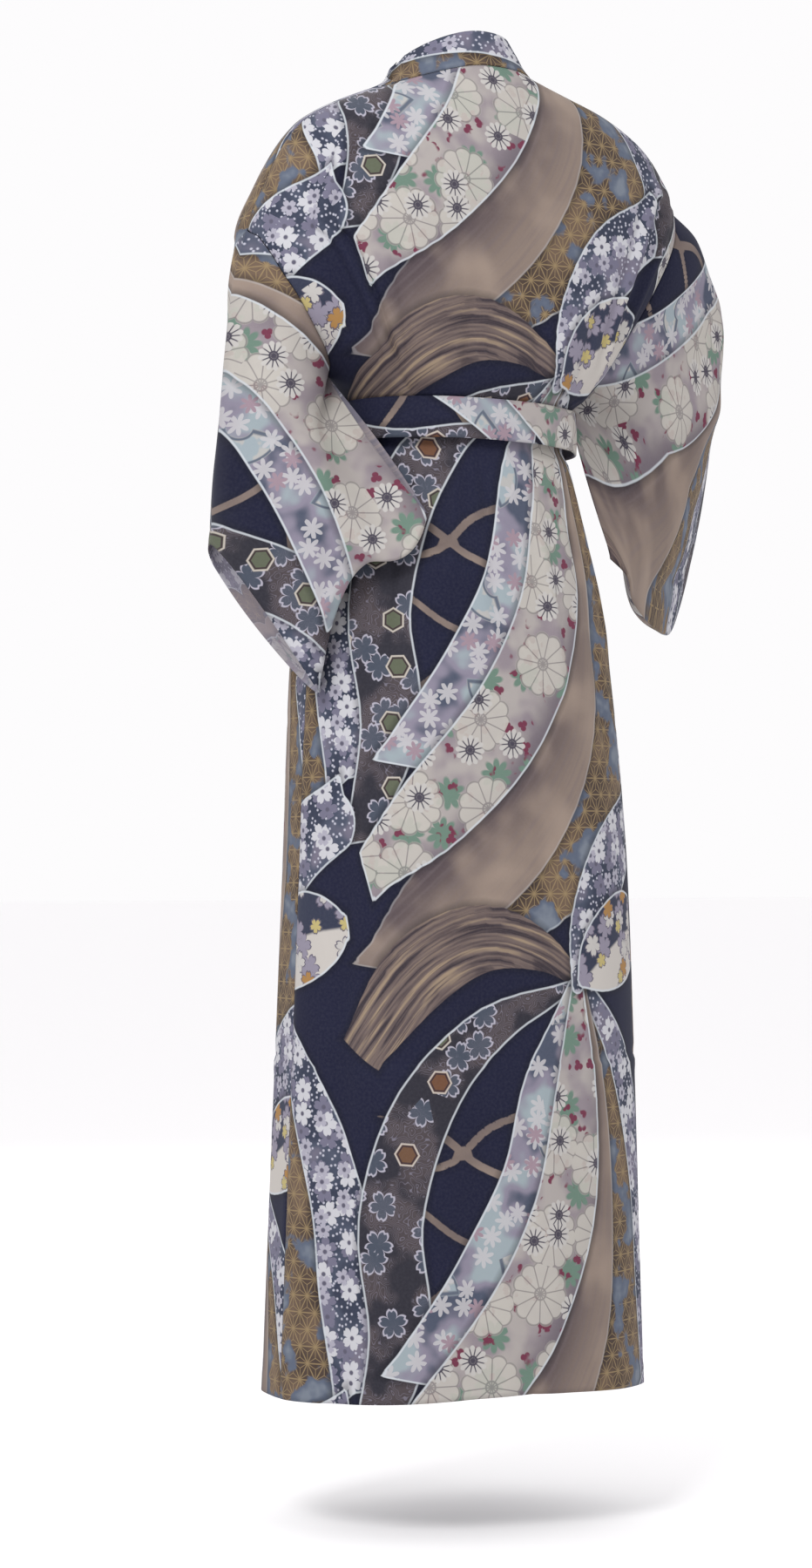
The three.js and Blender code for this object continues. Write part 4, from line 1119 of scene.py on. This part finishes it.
# %% Maple ribbon
def fill_maple():
    tree, take, end = new_group("maple_fill", [("Place", "Vector"), ("Ribbon", "Vector")],
                                [("Color", "Color")])
    place = take[0]
    slow = cloudy(tree, moved(tree, place, 15, 90), 55)
    colour = dyed(tree, "#454B5B", "#7B7685", stepped(tree, slow, 0.36, 0.5))
    colour = dyed(tree, colour, "#8A959A", stepped(tree, slow, 0.5, 0.64))
    inside, middle, between, chance = flowers(tree, moved(tree, place, 55, 20), 92, 0.5, 40, 1,
                                              0.0, 1.0)[:4]
    inner = add(tree, "Math", middle, 12.0, operation="SUBTRACT")
    inside = add(tree, "Math", inside, inner, operation="MINIMUM")
    wedge = add(tree, "Math", middle, -1.5, between, operation="MULTIPLY_ADD")
    inside = add(tree, "Math", inside, wedge, operation="MINIMUM")
    fan = by_chance(tree, soft_edge(tree, inside), chance, 0.25)
    fan_dye = dyed(tree, "#8C979D", "#A1A09E", stepped(tree, cloudy(tree, place, 20), 0.45, 0.55))
    rim = thin_line(tree, inside, 1.6, 2.6)
    fan_dye = dyed(tree, fan_dye, "#555C69", rim)
    colour = dyed(tree, colour, fan_dye, fan)
    inside, middle, between, chance = flowers(tree, moved(tree, place, 7, 3), 27, 0.8, 11.5, 7,
                                              0.62, 1.2)[:4]
    leaf = by_chance(tree, soft_edge(tree, inside), chance, 0.25)
    leaf = add(tree, "Math", leaf, 0.85, operation="MULTIPLY")
    colour = dyed(tree, colour, "#ABA9AC", leaf)
    inside, middle, between, chance = flowers(tree, moved(tree, place, 19, 44), 30, 0.9, 10, 7,
                                              0.62, 1.2)[:4]
    leaf = by_chance(tree, soft_edge(tree, inside), chance, 0.6)
    colour = dyed(tree, colour, "#8B7983", leaf)
    close(tree, end, colour)
    return tree


# %% [markdown]
# The cherry ribbon is dark slate with white and lilac blossoms of five notched
# petals, about 24 mm wide, and a dust of small dots between them.

# %% Cherry ribbon
def fill_cherry():
    tree, take, end = new_group("cherry_fill", [("Place", "Vector"), ("Ribbon", "Vector")],
                                [("Color", "Color")])
    place = take[0]
    slow = cloudy(tree, moved(tree, place, 37, 12), 60)
    colour = dyed(tree, "#313646", "#444A5A", stepped(tree, slow, 0.4, 0.6))
    colour = dyed(tree, colour, "#686473", stepped(tree, slow, 0.55, 0.68))
    dots = add(tree, "TexVoronoi", add(tree, "VectorMath", place, (6.5, 6.5, 6.5),
                                       operation="DIVIDE"), voronoi_dimensions="2D")
    dots.inputs["Scale"].default_value = 1.0
    dot = add(tree, "Math", dots.outputs["Distance"], -6.0, 1.6, operation="MULTIPLY_ADD",
              use_clamp=True)
    colour = dyed(tree, colour, "#ABABB7", dot)
    for spacing, radius, dye, seed, low in ((27, 12.5, "#666476", 21, 0.3),
                                            (30, 13, "#B1B1B6", 0, 0.4),
                                            (24, 9, "#9795A1", 47, 0.55)):
        inside, middle, between, chance = flowers(tree, moved(tree, place, seed, seed * 2), spacing,
                                                  0.8, radius, 5, 0.62, 0.5, 2.4)[:4]
        whole = by_chance(tree, soft_edge(tree, inside), chance, low)
        heart = add(tree, "Math", middle, -0.8, 2.4, operation="MULTIPLY_ADD", use_clamp=True)
        petal = dyed(tree, dye, "#535160", heart)
        colour = dyed(tree, colour, petal, whole)
    close(tree, end, colour)
    return tree


# %% [markdown]
# The brown ribbon carries the hemp leaf lattice, a net of triangles in which each
# triangle is parted into three from its middle. Three families of slanting lines
# give a point its place in a triangle, and a line is drawn where one of the three
# shares is zero or where the two smaller ones are equal. Soft blue-grey clouds
# cover parts of the net.

# %% Hemp leaf ribbon
def fill_hemp():
    tree, take, end = new_group("hemp_leaf_fill", [("Place", "Vector"), ("Ribbon", "Vector")],
                                [("Color", "Color")])
    place = take[0]
    slow = cloudy(tree, place, 70)
    colour = dyed(tree, "#443831", "#635244", stepped(tree, slow, 0.35, 0.65))
    height = 17.0
    shares = []
    for angle in (90, 210, 330):
        way = (math.cos(math.radians(angle)) / height, math.sin(math.radians(angle)) / height, 0)
        run = add(tree, "VectorMath", place, way, operation="DOT_PRODUCT").outputs["Value"]
        shares.append(add(tree, "Math", run, operation="FRACT").outputs[0])
    first, second, third = shares
    total = add(tree, "Math", first, second, operation="ADD")
    total = add(tree, "Math", total, third, operation="ADD")
    upside = add(tree, "Math", total, 1.5, operation="GREATER_THAN")
    parts = []
    for share in shares:
        other = add(tree, "Math", 1.0, share, operation="SUBTRACT")
        gap = add(tree, "Math", other, share, operation="SUBTRACT")
        parts.append(add(tree, "Math", gap, upside, share, operation="MULTIPLY_ADD"))
    low = add(tree, "Math", parts[0], parts[1], operation="MINIMUM")
    least = add(tree, "Math", low, parts[2], operation="MINIMUM")
    high = add(tree, "Math", parts[0], parts[1], operation="MAXIMUM")
    most = add(tree, "Math", high, parts[2], operation="MAXIMUM")
    second_least = add(tree, "Math", 1.0, least, operation="SUBTRACT")
    second_least = add(tree, "Math", second_least, most, operation="SUBTRACT")
    equal = add(tree, "Math", second_least, least, operation="SUBTRACT")
    nearest = add(tree, "Math", least, equal, operation="MINIMUM")
    line = add(tree, "Math", nearest, -height / 0.75, 1.3, operation="MULTIPLY_ADD",
               use_clamp=True)
    colour = dyed(tree, colour, "#897657", add(tree, "Math", line, 0.85, operation="MULTIPLY"))
    cloud = cloudy(tree, moved(tree, place, 5, 61), 46, 3.0)
    colour = dyed(tree, colour, "#525A6A", stepped(tree, cloud, 0.52, 0.58))
    colour = dyed(tree, colour, "#6B727D", stepped(tree, cloud, 0.58, 0.72))
    close(tree, end, colour)
    return tree


# %% [markdown]
# The charcoal ribbon has six-sided tortoiseshell figures filled in orange-brown and
# olive, outlined grey-lilac blossoms, and thin swirling lines.

# %% Tortoiseshell ribbon
def fill_tortoise():
    tree, take, end = new_group("tortoise_fill", [("Place", "Vector"), ("Ribbon", "Vector")],
                                [("Color", "Color")])
    place = take[0]
    slow = cloudy(tree, moved(tree, place, 3, 9), 50)
    colour = dyed(tree, "#2A2931", "#453E41", stepped(tree, slow, 0.4, 0.62))
    swirl = cloudy(tree, moved(tree, place, 60, 60), 17, 1.0)
    swirl = add(tree, "Math", swirl, 14.0, operation="MULTIPLY")
    swirl = add(tree, "Math", swirl, 0.5, operation="PINGPONG")
    swirl = add(tree, "Math", swirl, -8.0, 1.0, operation="MULTIPLY_ADD", use_clamp=True)
    swirl = add(tree, "Math", swirl, stepped(tree, slow, 0.42, 0.55), operation="MULTIPLY")
    colour = dyed(tree, colour, "#7B7887", add(tree, "Math", swirl, 0.6, operation="MULTIPLY"))
    inside, middle, between, chance = flowers(tree, moved(tree, place, 25, 11), 38, 0.8, 16, 5,
                                              0.55, 0.55, 2.4)[:4]
    rim = by_chance(tree, thin_line(tree, inside, 1.0, 2.2), chance, 0.3)
    body = by_chance(tree, soft_edge(tree, inside), chance, 0.3)
    colour = dyed(tree, colour, "#474F5D", add(tree, "Math", body, 0.7, operation="MULTIPLY"))
    colour = dyed(tree, colour, "#9C99A5", rim)
    inside, middle, between, chance = flowers(tree, moved(tree, place, 0, 35), 58, 0.75, 12.5, 6,
                                              0.0, 1.0)[:4]
    corner = add(tree, "Math", between, 3.0, operation="MULTIPLY")
    corner = add(tree, "Math", corner, middle, operation="DIVIDE")
    corner = add(tree, "Math", corner, operation="ARCCOSINE")
    corner = add(tree, "Math", corner, -1 / 3, math.pi / 6, operation="MULTIPLY_ADD")
    corner = add(tree, "Math", corner, operation="COSINE")
    corner = add(tree, "Math", corner, middle, operation="MULTIPLY")
    inside = add(tree, "Math", 11.5, corner, operation="SUBTRACT").outputs[0]
    part = add(tree, "SeparateColor", chance)
    fill = dyed(tree, "#634432", "#545949", stepped(tree, part.outputs[2], 0.45, 0.55))
    fill = dyed(tree, fill, "#35282C", thin_line(tree, inside, 3.0, 1.6))
    fill = dyed(tree, fill, "#ABA39B", thin_line(tree, inside, 0.8, 1.9))
    colour = dyed(tree, colour, fill, by_chance(tree, soft_edge(tree, inside), chance, 0.4))
    close(tree, end, colour)
    return tree


# %% [markdown]
# The plain ribbon is shaded from dark to light taupe across its width, with fine
# streaks along it, as brushed dye leaves them.

# %% Sand ribbon
def fill_sand():
    tree, take, end = new_group("sand_fill", [("Place", "Vector"), ("Ribbon", "Vector")],
                                [("Color", "Color")])
    ribbon = take[1]
    part = add(tree, "SeparateXYZ", ribbon)
    shade = stepped(tree, part.outputs[1], -40, 34)
    colour = dyed(tree, "#4A4044", "#7B6D64", shade)
    stretched = add(tree, "VectorMath", ribbon, (0.05, 1.0, 0.0), operation="MULTIPLY")
    streak = cloudy(tree, stretched.outputs[0], 5)
    soft = add(tree, "Math", stepped(tree, streak, 0.4, 0.75), 0.35, operation="MULTIPLY")
    colour = dyed(tree, colour, "#665C5E", soft)
    slow = cloudy(tree, take[0], 80)
    colour = dyed(tree, colour, "#8B7C71", stepped(tree, slow, 0.4, 0.8))
    close(tree, end, colour)
    return tree


# %% [markdown]
# Beside the knot the ends of the bundle are spread out like a brush. The strands
# are streaks that follow the ribbon, and dark cloth shows between them.

# %% Spread bundle
def fill_spread():
    tree, take, end = new_group("spread_fill", [("Place", "Vector"), ("Ribbon", "Vector")],
                                [("Color", "Color")])
    wide = add(tree, "VectorMath", take[1], (0.012, 0.17, 0.0), operation="MULTIPLY")
    strand = cloudy(tree, wide.outputs[0], 1.0, 1.0)
    colour = dyed(tree, "#352E33", "#655854", stepped(tree, strand, 0.3, 0.52))
    fine = add(tree, "VectorMath", take[1], (0.02, 0.5, 0.0), operation="MULTIPLY")
    colour = dyed(tree, colour, "#8A7966", stepped(tree, strand, 0.5, 0.75))
    hair = stepped(tree, cloudy(tree, fine.outputs[0], 1.0, 1.0), 0.45, 0.8)
    colour = dyed(tree, colour, "#504545", hair)
    close(tree, end, colour)
    return tree


# %% [markdown]
# The leaf beside the knot is cream with lilac scroll flowers and a few yellow and
# orange blossoms.

# %% Scroll leaf
def fill_scroll():
    tree, take, end = new_group("scroll_fill", [("Place", "Vector"), ("Ribbon", "Vector")],
                                [("Color", "Color")])
    place = take[0]
    part = add(tree, "SeparateXYZ", take[1])
    side = stepped(tree, part.outputs[1], -2, 2)
    colour = dyed(tree, "#AFAAA5", "#2F3344", side)
    for spacing, radius, petals, dye, seed, low in (
            (34, 15, 5, "#807B89", 9, 0.2), (31, 13, 5, "#ABA8A5", 55, 0.45),
            (40, 12, 5, "#947042", 31, 0.6), (37, 9, 5, "#A79A68", 72, 0.6)):
        inside, middle, between, chance = flowers(tree, moved(tree, place, seed, -seed), spacing,
                                                  0.85, radius, petals, 0.6, 0.5, 2.4)[:4]
        whole = by_chance(tree, soft_edge(tree, inside), chance, low)
        petal = dyed(tree, dye, "#544F5E", thin_line(tree, inside, 0.6, 1.8))
        colour = dyed(tree, colour, petal, whole)
    close(tree, end, colour)
    return tree


FILLS = {
    "chrysanthemum": fill_chrysanthemum(), "maple": fill_maple(), "cherry": fill_cherry(),
    "hemp": fill_hemp(), "tortoise": fill_tortoise(), "sand": fill_sand(),
    "scroll": fill_scroll(), "spread": fill_spread(),
}
print("fills", list(FILLS))

# %% [markdown]
# The print is built up as it is drawn: the navy ground first, then cords and
# ribbons from the lowest to the highest. Each ribbon throws a dark line on what
# lies under it and has a thin pale outline, as if it were laid on the cloth.

# %% Whole print
# ribbon, fill, darkness of the shadow, strength of the pale outline
LAYERS = (
    ("cords", "sand", 0.3, 0.0), ("hemp_leaf", "hemp", 0.55, 0.45),
    ("cherry_side", "cherry", 0.55, 0.8), ("sand", "sand", 0.5, 0.2),
    ("spread", "spread", 0.5, 0.0), ("tortoise", "tortoise", 0.5, 0.8),
    ("maple", "maple", 0.55, 0.9), ("chrysanthemum", "chrysanthemum", 0.55, 0.8),
    ("cherry_top", "cherry", 0.55, 0.8), ("scroll_leaf", "scroll", 0.55, 0.9),
)


def printed_colour(tree):
    """Colour of the print at a point of the cloth, and the cloth place in mm."""
    flat = add(tree, "UVMap", uv_map="cloth")
    place = add(tree, "VectorMath", flat, (1000, 1000, 0), operation="MULTIPLY").outputs[0]
    dust = cloudy(tree, place, 120)
    colour = dyed(tree, "#13152A", "#1B1D33", dust)
    for ribbon, fill, shadow, outline in LAYERS:
        kept = add(tree, "Attribute", attribute_name=ribbon, attribute_type="GEOMETRY")
        part = add(tree, "SeparateXYZ", kept.outputs["Vector"])
        outside = part.outputs[2]
        dark = add(tree, "Math", outside, -shadow / 8, shadow, operation="MULTIPLY_ADD",
                   use_clamp=True)
        colour = dyed(tree, colour, "#0B0C14", dark)
        made = tree.nodes.new("ShaderNodeGroup")
        made.node_tree = FILLS[fill]
        tree.links.new(place, made.inputs[0])
        tree.links.new(kept.outputs["Vector"], made.inputs[1])
        within = add(tree, "Math", outside, -1 / 0.9, 0.5, operation="MULTIPLY_ADD",
                     use_clamp=True)
        colour = dyed(tree, colour, made.outputs[0], within)
        if outline:
            line = thin_line(tree, outside, -0.8, 2.0)
            line = add(tree, "Math", line, outline, operation="MULTIPLY")
            colour = dyed(tree, colour, "#B3B8BD", line)
    return colour, place


# %% [markdown]
# The cloth is plain-woven cotton with a smooth finish. Real threads lie half a
# millimetre apart, too fine to show, so the weave is drawn at 1.4 mm. Cotton has a
# weak, wide sheen. On the wrong side the dye has not gone all the way through, so
# it is paler and duller.

# %% Cotton
def printed_cotton(name, faded):
    made = bpy.data.materials.new(name)
    made.use_nodes = True
    tree = made.node_tree
    surface = tree.nodes["Principled BSDF"]
    colour, place = printed_colour(tree)
    if faded:
        colour = dyed(tree, colour, "#8E8A97", faded)
    slub = cloudy(tree, place, 3.0)
    worn = stepped(tree, slub, 0.2, 0.9)
    soft = add(tree, "MapRange", worn, 0.0, 1.0, 0.0, 0.018)
    colour = dyed(tree, colour, "#B9BAC4", soft.outputs[0])
    tree.links.new(colour.outputs[0], surface.inputs["Base Color"])
    rough = add(tree, "MapRange", slub, 0.0, 1.0, 0.62, 0.8)
    tree.links.new(rough.outputs[0], surface.inputs["Roughness"])
    threads = add(tree, "VectorMath", place, (4.49, 4.49, 0), operation="MULTIPLY")
    part = add(tree, "SeparateXYZ", threads)
    warp = add(tree, "Math", part.outputs[0], operation="SINE")
    weft = add(tree, "Math", part.outputs[1], operation="SINE")
    weave = add(tree, "Math", warp, weft, operation="MULTIPLY")
    height = add(tree, "Math", weave, 0.25, slub, operation="MULTIPLY_ADD")
    bump = add(tree, "Bump")
    bump.inputs["Strength"].default_value = 0.07
    bump.inputs["Distance"].default_value = 0.0006
    tree.links.new(height.outputs[0], bump.inputs["Height"])
    tree.links.new(bump.outputs[0], surface.inputs["Normal"])
    surface.inputs["Sheen Weight"].default_value = 0.02
    surface.inputs["Sheen Roughness"].default_value = 0.5
    surface.inputs["Specular IOR Level"].default_value = 0.1
    print(name, "nodes", len(tree.nodes))
    return made


right_side = printed_cotton("printed_cotton", 0)
wrong_side = printed_cotton("printed_cotton_wrong_side", 0.55)
for name, piece in PANELS.items():
    piece.data.materials.append(right_side)
    piece.data.materials.append(wrong_side)

# %% [markdown]
# The floor is a pale sheet, and the light is soft and comes from all round.

# %% Floor and light
FLOOR = -1.52
floor_shape = bmesh.new()
bmesh.ops.create_grid(floor_shape, x_segments=2, y_segments=2, size=60)
for vert in floor_shape.verts:
    vert.co.z = FLOOR
floor_mesh = bpy.data.meshes.new("floor")
floor_shape.to_mesh(floor_mesh)
floor_shape.free()
floor = bpy.data.objects.new("floor", floor_mesh)
bpy.context.collection.objects.link(floor)
pale = bpy.data.materials.new("pale_paint")
pale.use_nodes = True
pale.node_tree.nodes["Principled BSDF"].inputs["Base Color"].default_value = to_linear("#FDFCFD")
pale.node_tree.nodes["Principled BSDF"].inputs["Roughness"].default_value = 0.9
floor_mesh.materials.append(pale)

world = bpy.data.worlds.new("studio")
bpy.context.scene.world = world
world.use_nodes = True
world.node_tree.nodes["Background"].inputs["Color"].default_value = to_linear("#FDFCFD")
world.node_tree.nodes["Background"].inputs["Strength"].default_value = 1.0
bpy.context.scene.view_settings.view_transform = "Standard"

# place, where it looks, size, watts
LIGHTS = {
    "key": ((2.2, 1.7, 1.6), (0, 0, -0.35), 1.1, 62),
    "fill": ((-1.6, 3.0, 1.2), (0, 0, -0.3), 1.6, 8),
    "front": ((-1.5, -4.0, 1.5), (0, 0, -0.6), 2.5, 34),
}
for name, (place, target, size, watts) in LIGHTS.items():
    light = bpy.data.lights.new(name, "AREA")
    light.size = size
    light.energy = watts
    lamp = bpy.data.objects.new(name, light)
    lamp.location = place
    aim = np.array(target) - np.array(place)
    lamp.rotation_euler = (math.atan2(math.hypot(aim[0], aim[1]), -aim[2]), 0,
                           math.atan2(-aim[0], aim[1]))
    bpy.context.collection.objects.link(lamp)
